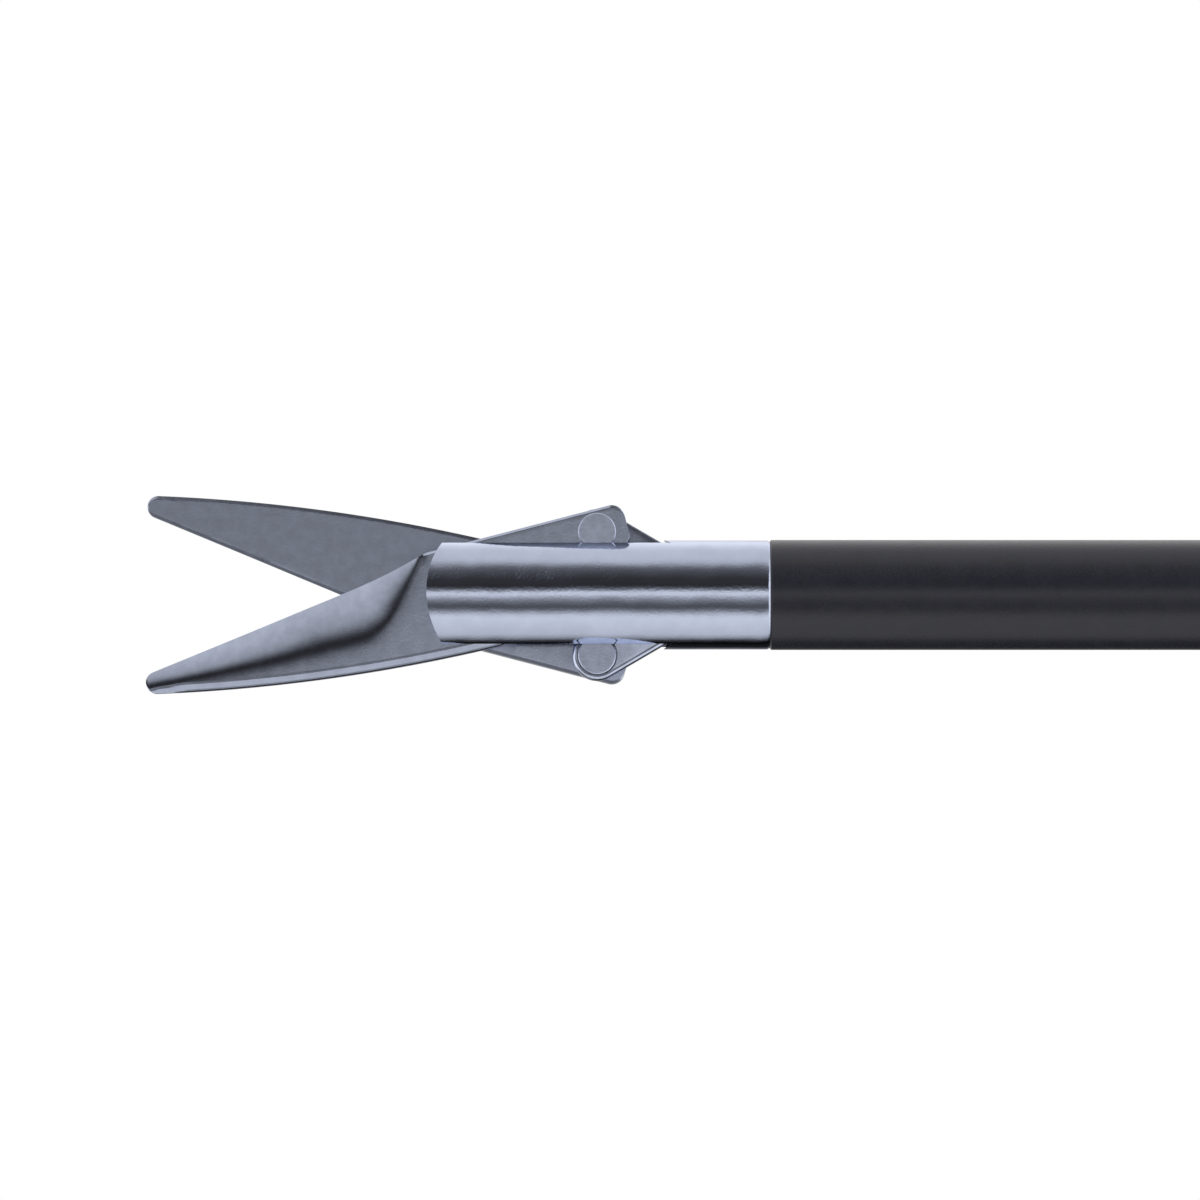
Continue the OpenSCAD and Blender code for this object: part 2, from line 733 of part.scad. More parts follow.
module flush_hub() {
    color(black_plastic) difference() {
        union() {
            rotate([0, 90, 0]) rotate_extrude() {
                translate([0, knob_edge_r]) square([hub_r, hub_length - knob_edge_r]);
                square([hub_r - knob_edge_r, knob_edge_r]);
                translate([hub_r - knob_edge_r, knob_edge_r]) circle(knob_edge_r);
            }
            translate([port_x, 0, 0]) cylinder(h = hub_r + port_boss_rise, r = port_r + port_boss_wall);
        }
        along_x(-cut_over, hub_length, tube_r);
        along_x(hub_length - ferrule_nose, hub_length + cut_over, ferrule_nose_r);
        translate([port_x, 0, 0]) cylinder(h = hub_r, r = port_bore_end_r);
        translate([port_x, 0, port_foot_z]) cylinder(h = 2 * hub_r, r = port_r);
    }
}

module luer_port() {
    color(steel) translate([port_x, 0, 0]) difference() {
        union() {
            translate([0, 0, port_foot_z]) cylinder(h = port_height - port_foot_z, r = port_r);
            intersection() {
                translate([-lug_r, -lug_width / 2, port_height - lug_height])
                    cube([2 * lug_r, lug_width, lug_height]);
                translate([0, 0, port_height - lug_height]) cylinder(h = lug_height, r = lug_r);
            }
        }
        translate([0, 0, port_foot_z]) cylinder(h = port_height - port_foot_z,
            r1 = port_bore_end_r, r2 = luer_r);
        translate([0, 0, port_height]) cylinder(h = cut_over, r = luer_r);
    }
}

module luer_cap() {
    top_z = port_height + gasket_height + cap_top;
    color(black_plastic) translate([port_x, 0, 0]) difference() {
        union() {
            translate([0, 0, top_z - cap_top - cap_skirt])
                cylinder(h = cap_top + cap_skirt - cap_wall, r = cap_r);
            translate([0, 0, top_z - cap_wall]) cylinder(h = cap_wall, r1 = cap_r, r2 = cap_r - cap_wall);
            for (i = [0 : cap_ribs - 1]) rotate(360 * i / cap_ribs)
                translate([cap_r, 0, top_z - cap_top - cap_skirt])
                cylinder(h = cap_top + cap_skirt - cap_wall, r = cap_rib_r);
        }
        translate([0, 0, top_z - cap_top - cap_skirt - cut_over])
            cylinder(h = cap_skirt + cut_over, r = lug_r + sliding_gap / 2);
    }
}

module cap_gasket() {
    color(seal_rubber) translate([port_x, 0, port_height])
        translate([0, 0, running_gap]) difference() {
            cylinder(h = gasket_height - running_gap, r = lug_r);
            translate([0, 0, -cut_over]) cylinder(h = gasket_height + 2 * cut_over, r = port_bore_end_r);
        }
}

// Ferrule, seal and knob

module tube_ferrule() {
    color(polished) difference() {
        union() {
            along_x(hub_length - ferrule_nose, hub_length, ferrule_nose_r);
            along_x(hub_length, ferrule_end_x, ferrule_r);
        }
        along_x(hub_length - ferrule_nose - cut_over, seal_x - seal_seat, tube_r);
        along_x(seal_x - seal_seat - cut_over, ferrule_end_x + cut_over, guide_bore_r);
        along_x(seal_x, seal_x + seal_length, seal_r);
        groove(ring_groove_x - ring_groove_half, 2 * ring_groove_half, ring_groove_r);
        groove(clip_x, clip_thick, clip_groove_r);
        for (side = [0, 180]) rotate([side, 0, 0]) translate([knob_screw_x, 0, ferrule_r - screw_bite])
            cylinder(h = cut_over, r = knob_screw_r);
    }
}

// A ring-shaped cutter round the ferrule
module groove(x, width, r) {
    difference() {
        along_x(x, x + width, ferrule_r + cut_over);
        along_x(x - cut_over, x + width + cut_over, r);
    }
}

module rod_seal() {
    color(seal_rubber) difference() {
        along_x(seal_x, seal_x + seal_length, seal_r);
        along_x(seal_x - cut_over, seal_x + seal_length + cut_over, rod_d / 2 + running_gap);
        groove(seal_x + seal_length / 3, seal_length / 3, seal_r - seal_lip);
    }
}

module knob_profile() {
    polygon([[0, 0], [knob_nose_r, 0], [knob_r - knob_edge_r, knob_nose],
        [knob_r, knob_nose + knob_edge_r], [knob_r, knob_length - knob_tail - knob_edge_r],
        [knob_r - knob_edge_r, knob_length - knob_tail], [knob_tail_r, knob_length], [0, knob_length]]);
}

module rotation_knob() {
    color(black_plastic) translate([knob_front_x, 0, 0]) difference() {
        rotate([0, 90, 0]) rotate_extrude() knob_profile();
        along_x(-cut_over, knob_length + cut_over, ferrule_r);
        for (i = [0 : knob_flutes - 1]) rotate([180 * (2 * i + 1) / knob_flutes, 0, 0])
            translate([0, 0, knob_r + flute_r - flute_depth])
            along_x(-cut_over, knob_length + cut_over, flute_r);
        for (side = [0, 180]) rotate([side, 0, 0])
            translate([knob_screw_x - knob_front_x, 0, ferrule_r - cut_over])
            cylinder(h = knob_r, r = knob_screw_r);
    }
}

module knob_screws() {
    color(steel) for (side = [0, 180]) rotate([side, 0, 0])
        translate([knob_screw_x, 0, ferrule_r - screw_bite]) difference() {
            cylinder(h = knob_screw_depth, r = knob_screw_r);
            translate([0, 0, knob_screw_depth - hex_key_depth])
                cylinder(h = hex_key_depth + cut_over, r = hex_key_r, $fn = 6);
        }
}

module retaining_clip() {
    clip_mouth = 2 * clip_groove_r * clip_mouth_share;
    color(steel) difference() {
        along_x(clip_x, clip_x + clip_thick, clip_r);
        along_x(clip_x - cut_over, clip_x + clip_thick + cut_over, clip_groove_r);
        translate([clip_x - cut_over, -clip_mouth / 2, -clip_r - cut_over])
            cube([clip_thick + 2 * cut_over, clip_mouth, clip_r + cut_over]);
    }
}

module friction_ring() {
    color(seal_rubber) rotate([0, 90, 0]) translate([0, 0, ring_groove_x]) rotate_extrude()
        translate([ring_groove_r + friction_ring_r + running_gap / 2, 0]) circle(friction_ring_r);
}

module neck_bush() {
    color(brass) difference() {
        union() {
            along_x(head_front_x, head_front_x + bush_length, ferrule_r + bush_wall);
            along_x(head_front_x + bush_length - bush_flange, head_front_x + bush_length, bush_flange_r);
        }
        along_x(head_front_x - cut_over, head_front_x + bush_length + cut_over, ferrule_r + running_gap);
    }
}

// Handle shells

module finger_ring() {
    span = norm(finger_top - finger_low);
    bearing = atan2(finger_top.y - finger_low.y, finger_top.x - finger_low.x);
    lean = acos((finger_low_r - finger_top_r) / span);
    swept_bar(concat(arc_path(finger_top, finger_top_r, bearing - lean, 2 * lean),
        arc_path(finger_low, finger_low_r, bearing + lean, 360 - 2 * lean)));
}

module handle_outside() {
    rounded_slab(head_corners, head_half_y, head_edge_r);
    rounded_slab(shank_corners, shank_half_y, shank_edge_r);
    finger_ring();
}

// The lever's own outline, upright, about its axle
module lever_outline() {
    bar_outline([0, 0], plate_boss_r, [0, lever_arm + plate_top - plate_head_r], plate_head_r);
    bar_outline([0, 0], plate_tail_half,
        plate_tail_length * [cos(tail_mid_bearing), sin(tail_mid_bearing)], plate_tail_half);
}

// Where the lever swings, from open to closed, drawn larger by a gap
module lever_sweep(gap) {
    for (swing = [-lever_travel / 2, 0, lever_travel / 2])
        translate([lever_axle_x, lever_axle_z]) rotate(-swing) offset(r = gap) children();
}

module head_hollow() {
    room_x = head_front_x + bush_length + neck_gap;
    plate(-plate_half_y - lever_gap_y, plate_half_y + lever_gap_y) {
        lever_sweep(head_wall / 2) lever_outline();
        translate([room_x, -clip_r - neck_gap])
            square([lever_axle_x - room_x, 2 * (clip_r + neck_gap)]);
    }
    plate(-clip_r - neck_gap, clip_r + neck_gap)
        translate([room_x, -clip_r - neck_gap])
        square([ferrule_end_x + neck_gap - room_x, 2 * (clip_r + neck_gap)]);
    plate(-spring_width / 2 - sliding_gap, spring_width / 2 + sliding_gap)
        leaf_outline(spring_thick + 2 * sliding_gap);
}

module screw_holes() {
    for (p = screw_places) translate([p.x, 0, p.y]) {
        along_y(-p.z - cut_over, p.z + cut_over, screw_r);
        along_y(-p.z - cut_over, -p.z + screw_head_depth, screw_head_r);
        translate([0, p.z - nut_depth, 0]) rotate([-90, 0, 0])
            cylinder(h = nut_depth + cut_over, r = nut_r, $fn = 6);
    }
}

module post_frame() {
    translate([post_x, 0, post_start_z]) rotate([0, post_lean, 0]) children();
}

module handle_shell(side) {
    color(black_plastic) difference() {
        handle_outside();
        translate([head_front_x - working_length / 2, side > 0 ? -working_length : 0, -working_length / 2])
            cube(working_length);
        head_hollow();
        along_x(head_front_x - cut_over, head_front_x + bush_length + cut_over, ferrule_r + bush_wall);
        along_x(head_front_x + bush_length - bush_flange, head_front_x + bush_length + cut_over,
            bush_flange_r);
        screw_holes();
        translate([lever_axle_x, 0, lever_axle_z]) {
            along_y(-head_half_y - cut_over, head_half_y + cut_over, axle_r);
            along_y(-head_half_y - cut_over, -head_half_y + axle_head_depth, axle_head_r);
            translate([0, head_half_y - axle_head_depth, 0]) rotate([-90, 0, 0])
                cylinder(h = axle_head_depth + cut_over, r = axle_nut_r, $fn = 6);
        }
        translate([stop_at.x, 0, stop_at.y])
            along_y(-head_half_y + stop_cover, head_half_y - stop_cover, stop_r);
        post_frame() {
            cylinder(h = collar_seat + cut_over, r = post_base_r);
            translate([0, 0, collar_seat]) cylinder(h = 2 * collar_height, r = collar_r);
        }
    }
}

module handle_shell_left() {
    handle_shell(1);
}

module handle_shell_right() {
    handle_shell(-1);
}

// Screws, nuts, axle and stop of the handle

module shell_screws() {
    color(steel) for (p = screw_places) translate([p.x, 0, p.y]) difference() {
        union() {
            along_y(-p.z + screw_head_depth / 2, p.z - screw_end_gap, screw_r);
            along_y(-p.z + screw_sunk, -p.z + screw_head_depth, screw_head_r);
        }
        translate([-screw_slot / 2, -p.z, -screw_head_r])
            cube([screw_slot, screw_sunk + screw_slot, 2 * screw_head_r]);
    }
}

module shell_nuts() {
    color(steel) for (p = screw_places) translate([p.x, p.z - nut_depth, p.y]) difference() {
        rotate([-90, 0, 0]) cylinder(h = nut_depth - screw_sunk, r = nut_r, $fn = 6);
        along_y(-cut_over, nut_depth, screw_r);
    }
}

module lever_axle() {
    color(steel) translate([lever_axle_x, 0, lever_axle_z]) difference() {
        union() {
            along_y(-head_half_y + axle_head_depth / 2, head_half_y - screw_sunk, axle_r);
            along_y(-head_half_y + screw_sunk, -head_half_y + axle_head_depth, axle_head_r);
        }
        translate([-axle_slot / 2, -head_half_y, -axle_head_r])
            cube([axle_slot, screw_sunk + axle_slot, 2 * axle_head_r]);
    }
}

module axle_nut() {
    color(steel) translate([lever_axle_x, head_half_y - axle_head_depth, lever_axle_z]) difference() {
        rotate([-90, 0, 0]) cylinder(h = axle_head_depth - screw_sunk, r = axle_nut_r, $fn = 6);
        along_y(-cut_over, axle_head_depth, axle_r);
    }
}

module travel_stop() {
    color(steel) translate([stop_at.x, 0, stop_at.y])
        along_y(-head_half_y + stop_cover, head_half_y - stop_cover, stop_r);
}

// Cable post and its contact

module cable_post() {
    color(polished) post_frame() {
        cylinder(h = collar_seat + collar_height + cut_over, r = post_root_r);
        translate([0, 0, collar_seat + collar_height]) cylinder(h = post_length - post_tip, r = post_r);
        translate([0, 0, collar_seat + collar_height + post_length - post_tip])
            cylinder(h = post_tip, r1 = post_r, r2 = post_r - post_tip);
    }
}

module post_collar() {
    color(white_polymer) post_frame() difference() {
        union() {
            cylinder(h = collar_seat + cut_over, r = post_base_r);
            translate([0, 0, collar_seat]) cylinder(h = collar_height - collar_bevel, r = collar_r);
            translate([0, 0, collar_seat + collar_height - collar_bevel])
                cylinder(h = collar_bevel, r1 = collar_r, r2 = collar_r - collar_bevel);
        }
        translate([0, 0, -cut_over])
            cylinder(h = collar_seat + collar_height + 2 * cut_over, r = post_root_r);
    }
}

// The leaf lies against the post's root and runs down to the ferrule's tail. It is drawn thicker
// for the room that the shells leave it.
function under_post(across) = [post_x, post_start_z] + across * [cos(post_lean), -sin(post_lean)]
    - spring_thick / 2 * [sin(post_lean), cos(post_lean)];
module leaf_outline(thick) {
    tail_x = ferrule_end_x - clip_thick;
    touch_z = ferrule_r + running_gap + spring_thick / 2;
    route = [under_post(post_root_r), under_post(-post_root_r),
        [ferrule_end_x + spring_thick, touch_z + spring_hook], [tail_x, touch_z],
        [tail_x - spring_hook, touch_z + spring_hook]];
    for (i = [0 : len(route) - 2]) bar_outline(route[i], thick / 2, route[i + 1], thick / 2);
}

module contact_spring() {
    color(brass) plate(-spring_width / 2, spring_width / 2) leaf_outline(spring_thick);
}

// Thumb lever

// Drawn upright at the middle of the swing, and turned to the open position
module at_lever() {
    translate([lever_axle_x, 0, lever_axle_z]) rotate([0, -lever_travel / 2, 0]) children();
}

module lever_plate() {
    color(steel) at_lever() difference() {
        plate(-plate_half_y, plate_half_y) lever_outline();
        along_y(-plate_half_y - cut_over, plate_half_y + cut_over, axle_r + running_gap);
        translate([0, 0, lever_arm]) {
            sphere(ball_r + ball_gap);
            cylinder(h = plate_top + cut_over, r = ball_r + ball_gap);
            along_x(-plate_boss_r, 0, rod_d / 2 + fork_gap);
            translate([-plate_boss_r, -rod_d / 2 - fork_gap, 0])
                cube([plate_boss_r, rod_d + 2 * fork_gap, plate_top + cut_over]);
        }
        rivets(plate_half_y + cut_over);
    }
}

module rivets(half_y) {
    for (share = plate_rivet_shares) {
        at = share * plate_tail_length * [cos(tail_mid_bearing), sin(tail_mid_bearing)];
        translate([at.x, 0, at.y]) along_y(-half_y, half_y, rivet_r);
    }
}

module grip_rivets() {
    color(steel) at_lever() rivets(arm_half_y);
}

module thumb_grip() {
    color(black_plastic) difference() {
        union() {
            rounded_slab(arm_corners, arm_half_y, arm_edge_r);
            translate([thumb_centre.x, 0, thumb_centre.y]) rotate([90, 0, 0]) rotate_extrude()
                translate([thumb_r, 0]) polygon(ring_section);
        }
        at_lever() {
            plate(-plate_half_y, plate_half_y) lever_outline();
            rivets(arm_half_y + cut_over);
        }
    }
}

module rod_ball() {
    color(polished) difference() {
        translate([ball_x, 0, 0]) sphere(ball_r);
        along_x(ball_x - ball_r - cut_over, ball_x, rod_d / 2);
    }
}

blade_rear();
blade_front();
link_pin_rear();
link_pin_front();
link_rear();
link_front();
distal_clevis();
jaw_pivot_pin();
rod_yoke();
yoke_pin();
drive_rod();
rod_guides();
shaft_tube();
insulation_sleeve();
flush_hub();
luer_port();
luer_cap();
cap_gasket();
tube_ferrule();
rod_seal();
rotation_knob();
knob_screws();
retaining_clip();
friction_ring();
neck_bush();
handle_shell_left();
handle_shell_right();
shell_screws();
shell_nuts();
lever_axle();
axle_nut();
lever_plate();
thumb_grip();
grip_rivets();
rod_ball();
contact_spring();
cable_post();
post_collar();
travel_stop();
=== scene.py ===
# %% [markdown]
# # Laparoscopic scissors, dressed for a studio picture
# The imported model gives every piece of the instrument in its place. This lesson keeps those
# places and gives the pieces their looks. The front end, which a picture of such scissors shows,
# gets finer meshes of its own. The rest keeps its model meshes and gets finishes. Lengths below
# are in millimetres, as a drawing has them, and become metres when a mesh is made.

# %% Frame
import json
import math

import bmesh
import bpy
import numpy as np
from mathutils import Matrix, Vector

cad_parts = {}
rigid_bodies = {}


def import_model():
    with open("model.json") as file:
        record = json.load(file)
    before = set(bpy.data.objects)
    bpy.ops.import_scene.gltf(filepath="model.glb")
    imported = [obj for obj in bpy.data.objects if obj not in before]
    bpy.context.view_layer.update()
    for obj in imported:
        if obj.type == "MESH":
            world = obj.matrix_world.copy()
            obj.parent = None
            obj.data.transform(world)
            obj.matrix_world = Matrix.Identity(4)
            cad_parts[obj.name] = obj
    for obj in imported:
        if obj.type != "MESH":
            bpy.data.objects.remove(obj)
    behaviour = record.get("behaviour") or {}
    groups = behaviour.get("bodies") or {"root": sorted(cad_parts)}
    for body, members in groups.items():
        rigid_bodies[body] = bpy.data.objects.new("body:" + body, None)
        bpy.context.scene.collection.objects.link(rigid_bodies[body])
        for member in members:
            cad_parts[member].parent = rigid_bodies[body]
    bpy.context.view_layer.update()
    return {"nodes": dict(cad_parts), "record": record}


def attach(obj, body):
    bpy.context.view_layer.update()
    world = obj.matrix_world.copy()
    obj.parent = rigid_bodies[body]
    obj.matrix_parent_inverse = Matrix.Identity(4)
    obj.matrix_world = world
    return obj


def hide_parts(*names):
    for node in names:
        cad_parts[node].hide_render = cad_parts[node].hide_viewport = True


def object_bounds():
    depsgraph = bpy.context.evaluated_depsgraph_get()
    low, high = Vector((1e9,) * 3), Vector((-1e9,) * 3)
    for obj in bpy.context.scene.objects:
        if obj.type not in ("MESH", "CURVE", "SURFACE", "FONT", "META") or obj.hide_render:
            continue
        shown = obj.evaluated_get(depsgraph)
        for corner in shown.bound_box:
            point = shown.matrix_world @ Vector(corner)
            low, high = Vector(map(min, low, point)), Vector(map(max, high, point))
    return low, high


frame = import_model()
scene = bpy.context.scene
MM = 0.001

# %% [markdown]
# ## The camera
# The picture is a close view of the front 55 mm, taken from the side and from a little below the
# shaft. A long lens from far away keeps the two jaws the same size, as close product pictures do.

# %% Camera
VIEW_WIDTH = 54.545
VIEW_CENTRE = Vector((-308.87, 0, -0.23))
VIEW_RISE = math.radians(-5)
CAMERA_DISTANCE = 400
SENSOR = 36

camera_data = bpy.data.cameras.new("camera")
camera_data.sensor_width = SENSOR
camera_data.lens = SENSOR * CAMERA_DISTANCE / VIEW_WIDTH
camera_data.clip_start = 0.01
camera_data.clip_end = 20
camera = bpy.data.objects.new("camera", camera_data)
scene.collection.objects.link(camera)
scene.camera = camera
toward_camera = Vector((0, -math.cos(VIEW_RISE), math.sin(VIEW_RISE)))
camera.location = (VIEW_CENTRE + CAMERA_DISTANCE * toward_camera) * MM
camera.rotation_euler = (math.pi / 2 - VIEW_RISE, 0, 0)
print("lens", round(camera_data.lens, 1), "mm")

# %% [markdown]
# ## Sums with sockets
# A material is a graph of nodes, and its maths reads best as sums. `Wire` wraps one socket, so
# that an expression such as `1 - mask * 0.3` adds its Math nodes. `Nodes` holds the graph, and
# its one method `node` makes any other node from its type, its settings and what goes into its
# sockets.

# %% Wires
class Wire:
    def __init__(self, nodes, socket):
        self.nodes = nodes
        self.socket = socket

    def sum(self, operation, first, second):
        return self.nodes.node("ShaderNodeMath", {"operation": operation}, [first, second])

    def __add__(self, other):
        return self.sum("ADD", self, other)

    def __radd__(self, other):
        return self.sum("ADD", other, self)

    def __sub__(self, other):
        return self.sum("SUBTRACT", self, other)

    def __rsub__(self, other):
        return self.sum("SUBTRACT", other, self)

    def __mul__(self, other):
        return self.sum("MULTIPLY", self, other)

    def __rmul__(self, other):
        return self.sum("MULTIPLY", other, self)

    def __truediv__(self, other):
        return self.sum("DIVIDE", self, other)


class Nodes:
    def __init__(self, tree):
        self.tree = tree

    def node(self, kind, settings=None, inputs=None, output=0):
        made = self.tree.nodes.new(kind)
        for name, value in (settings or {}).items():
            if name == "stops":
                self.set_stops(made.color_ramp, value)
            else:
                setattr(made, name, value)
        pairs = inputs.items() if isinstance(inputs, dict) else enumerate(inputs or [])
        for name, value in pairs:
            if isinstance(value, Wire):
                self.tree.links.new(value.socket, made.inputs[name])
            else:
                made.inputs[name].default_value = value
        return Wire(self, made.outputs[output] if made.outputs else None)

    def set_stops(self, ramp, stops):
        while len(ramp.elements) < len(stops):
            ramp.elements.new(0.5)
        for element, (place, level) in zip(ramp.elements, stops):
            element.position = place
            element.color = colour(level)

    def mix(self, share, first, second):
        return self.node("ShaderNodeMix", {"data_type": "RGBA"}, {0: share, 6: first, 7: second}, 2)

    def ramp(self, value, stops):
        return self.node("ShaderNodeValToRGB", {"stops": stops}, [value])

    def noise(self, place, scale, detail=3.0, roughness=0.5):
        return self.node("ShaderNodeTexNoise", {}, {"Vector": place, "Scale": scale,
                                                   "Detail": detail, "Roughness": roughness})

    def spread(self, value, low, high, to_low, to_high):
        return self.node("ShaderNodeMapRange", {}, [value, low, high, to_low, to_high])


def colour(level):
    return (level, level, level, 1) if isinstance(level, (int, float)) else (*level[:3], 1)


print("a level of 0.5 becomes", colour(0.5))

# %% [markdown]
# ## The studio
# Polished steel shows the room, so the room is half of the picture. Round steel lying along X
# turns the whole room into stripes, one for each height. Here the room is a ramp over the angle
# round the X axis: white overhead and below, a dark card above the lens, a narrow white gap at
# the lens, and a grey card under it. A second ramp stands to the left, where the dark card is
# narrower and its lower edge slants, so that the blades' ground faces catch the light. White
# cards at both ends give small rims their glint. The camera itself sees plain white. Real cards
# on stands would do the same, but a ramp is quicker to set, and one number moves one stripe.

# %% Room
def angle_share(degrees):
    return (degrees + 180) / 360


ROOM_STOPS = [
    (-180, 0.40), (-166, 0.20), (-152, 0.02), (-126, 0.002), (-117, 0.06), (-107, 0.42),
    (-97, 0.67), (-75, 0.78), (-57, 0.86), (-50, 0.78), (-43, 0.48), (-37, 0.20), (-31, 0.10),
    (-24, 0.14), (-17, 0.25), (-10, 0.48), (-4, 0.84), (1, 0.78), (7, 0.17), (14, 0.03),
    (21, 0.04), (30, 0.04), (40, 0.075), (48, 0.11), (55, 0.18), (62, 0.38), (69, 0.60),
    (78, 0.70), (104, 0.76), (120, 0.92), (135, 1.10), (180, 0.60)
]
CARD_STOPS = [
    (-180, 0.60), (-128, 0.02), (-100, 0.50), (-55, 0.83), (-45, 0.74), (-34, 0.24), (-26, 0.12),
    (-17, 0.16), (0, 0.52), (6, 0.46), (13, 0.14), (18, 0.02), (23, 0.02), (26, 0.10),
    (28.5, 0.24), (31, 0.38), (34, 0.47), (38, 0.53), (44, 0.60), (52, 0.67), (72, 0.74),
    (130, 0.89), (180, 0.60)
]
SLANT_REACH = (-0.38, -0.75)
CARD_SLANT = 16
CARD_REACH = (-0.06, -0.13)
LEFT_END = (-0.78, -0.9)
RIGHT_END = (0.5, 0.62)
END_CARD = 1.1

world = bpy.data.worlds.new("room")
scene.world = world
world.use_nodes = True
world.node_tree.nodes.clear()
room = Nodes(world.node_tree)
direction = room.node("ShaderNodeTexCoord", output="Generated")
split = room.node("ShaderNodeSeparateXYZ", {}, [direction])
along = Wire(room, split.socket.node.outputs["X"])
side = Wire(room, split.socket.node.outputs["Y"])
height = Wire(room, split.socket.node.outputs["Z"])
turn = room.node("ShaderNodeMath", {"operation": "ARCTAN2"}, [height, 0 - side])
turn_share = turn / (2 * math.pi) + 0.5
slant = room.spread(along, *SLANT_REACH, 0, CARD_SLANT / 360)


def bands(share, stops):
    return room.ramp(share, [(angle_share(degrees), level) for degrees, level in stops])


stripes = bands(turn_share, ROOM_STOPS)
card = bands(turn_share - slant, CARD_STOPS)
light = room.mix(room.spread(along, *CARD_REACH, 0, 1), stripes, card)
ends = room.spread(along, *LEFT_END, 0, 1) + room.spread(along, *RIGHT_END, 0, 1)
light = room.mix(ends, light, colour(END_CARD))
seen = room.node("ShaderNodeLightPath", output="Is Camera Ray")
light = room.mix(seen, light, colour(1.0))
background = room.node("ShaderNodeBackground", {}, {"Color": light, "Strength": 1.0})
room.node("ShaderNodeOutputWorld", {}, {"Surface": background})
print("room:", len(ROOM_STOPS), "stops, card:", len(CARD_STOPS), "stops")

# %% [markdown]
# ## Lamps and floor
# Black plastic needs more than a room to show its form, so three lamps with soft edges light it.
# They are kept out of the reflections, where they would spoil the steel's stripes. The floor is a
# plain pale sheet. It takes a soft shadow near the instrument, and farther away it glows more and
# more, so that it ends in the white of the room with no horizon.

# %% Lamps and floor
def soft_lamp(name, place, aim, size, power):
    data = bpy.data.lights.new(name, "AREA")
    data.shape = "DISK"
    data.size = size
    data.energy = power
    lamp = bpy.data.objects.new(name, data)
    scene.collection.objects.link(lamp)
    lamp.location = place
    lamp.rotation_euler = (Vector(aim) - Vector(place)).to_track_quat("-Z", "Y").to_euler()
    lamp.visible_glossy = False
    return lamp


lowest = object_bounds()[0].z
middle = Vector((-0.1, 0, -0.02))
soft_lamp("key_lamp", (-0.5, -0.7, 0.8), middle, 0.6, 5)
soft_lamp("fill_lamp", (0.5, -0.8, 0.2), middle, 0.8, 2.5)
soft_lamp("back_lamp", (0.0, 0.9, 0.7), middle, 0.6, 3)

FLOOR_HALF = 3
FLOOR_GAP = 0.0005
FLOOR_LEVEL = 0.9
GLOW_REACH = (0.35, 1.1)
GLOW_NEAR = 0.45
corners = [(-1, -1), (1, -1), (1, 1), (-1, 1)]
floor_mesh = bpy.data.meshes.new("floor")
floor_points = [(x * FLOOR_HALF, y * FLOOR_HALF, 0) for x, y in corners]
floor_mesh.from_pydata(floor_points, [], [(0, 1, 2, 3)])
floor = bpy.data.objects.new("floor", floor_mesh)
scene.collection.objects.link(floor)
floor.location.z = lowest - FLOOR_GAP
floor.visible_glossy = False
floor_material = bpy.data.materials.new("floor")
floor_material.use_nodes = True
floor_material.node_tree.nodes.clear()
floor_nodes = Nodes(floor_material.node_tree)
floor_paint = floor_nodes.node("ShaderNodeBsdfDiffuse", {}, {"Color": colour(FLOOR_LEVEL)})
floor_glow = floor_nodes.node("ShaderNodeEmission", {}, {"Color": colour(1.0)})
floor_place = floor_nodes.node("ShaderNodeTexCoord", output="Object")
reach = floor_nodes.node("ShaderNodeVectorMath", {"operation": "LENGTH"}, [floor_place], "Value")
glow = floor_nodes.spread(reach, *GLOW_REACH, GLOW_NEAR, 1)
floor_skin = floor_nodes.node("ShaderNodeMixShader", {}, [glow, floor_paint, floor_glow])
floor_nodes.node("ShaderNodeOutputMaterial", {}, {"Surface": floor_skin})
floor_mesh.materials.append(floor_material)
scene.view_settings.view_transform = "Standard"
print("floor at", round(floor.location.z / MM, 1), "mm")

# %% [markdown]
# ## Steel finishes
# All the steel has one recipe: a metal whose colour, roughness and tiny bumps vary with noise of
# a grain's size, and whose colour also has cloudy patches, as lapping and tumbling leave them. A
# lapped flat scatters the room, a ground or buffed face mirrors it. Two materials could do that,
# but the finish changes over one blade. So the vertex attribute `polish` says how bright the face
# is, from 0, lapped, to 1, buffed; below 1 the colour is darkened by the finish's `shade`. On the
# two links the same attribute carries painted shade: the rear link, which the clevis shades, has 0
# and is painted darker, and the front link has 1. A buffed tube is also a little wavy, which bends
# its stripes.

# %% Steel
class Finish(Nodes):
    def __init__(self, name):
        self.material = bpy.data.materials.new(name)
        self.material.use_nodes = True
        super().__init__(self.material.node_tree)
        self.tree.nodes.clear()
        self.place = self.node("ShaderNodeTexCoord", output="Object")

    def surface(self, base, rough, normal, metal=0.0):
        shader = self.node("ShaderNodeBsdfPrincipled", {}, {"Base Color": base, "Roughness": rough,
                                                           "Metallic": metal, "Normal": normal})
        self.node("ShaderNodeOutputMaterial", {}, {"Surface": shader})
        return self.material

    def bump(self, height, depth, under=None):
        inputs = {"Height": height, "Distance": depth, "Strength": 1.0}
        if under:
            inputs["Normal"] = under
        return self.node("ShaderNodeBump", {}, inputs)


GRAIN = 9000
GRAIN_DEPTH = 0.000004
WAVES = 350
ROUGH_BY_GRAIN = 0.05
ROUGH_BY_CLOUD = 0.04
GRAIN_BUFFED_OFF = 0.8


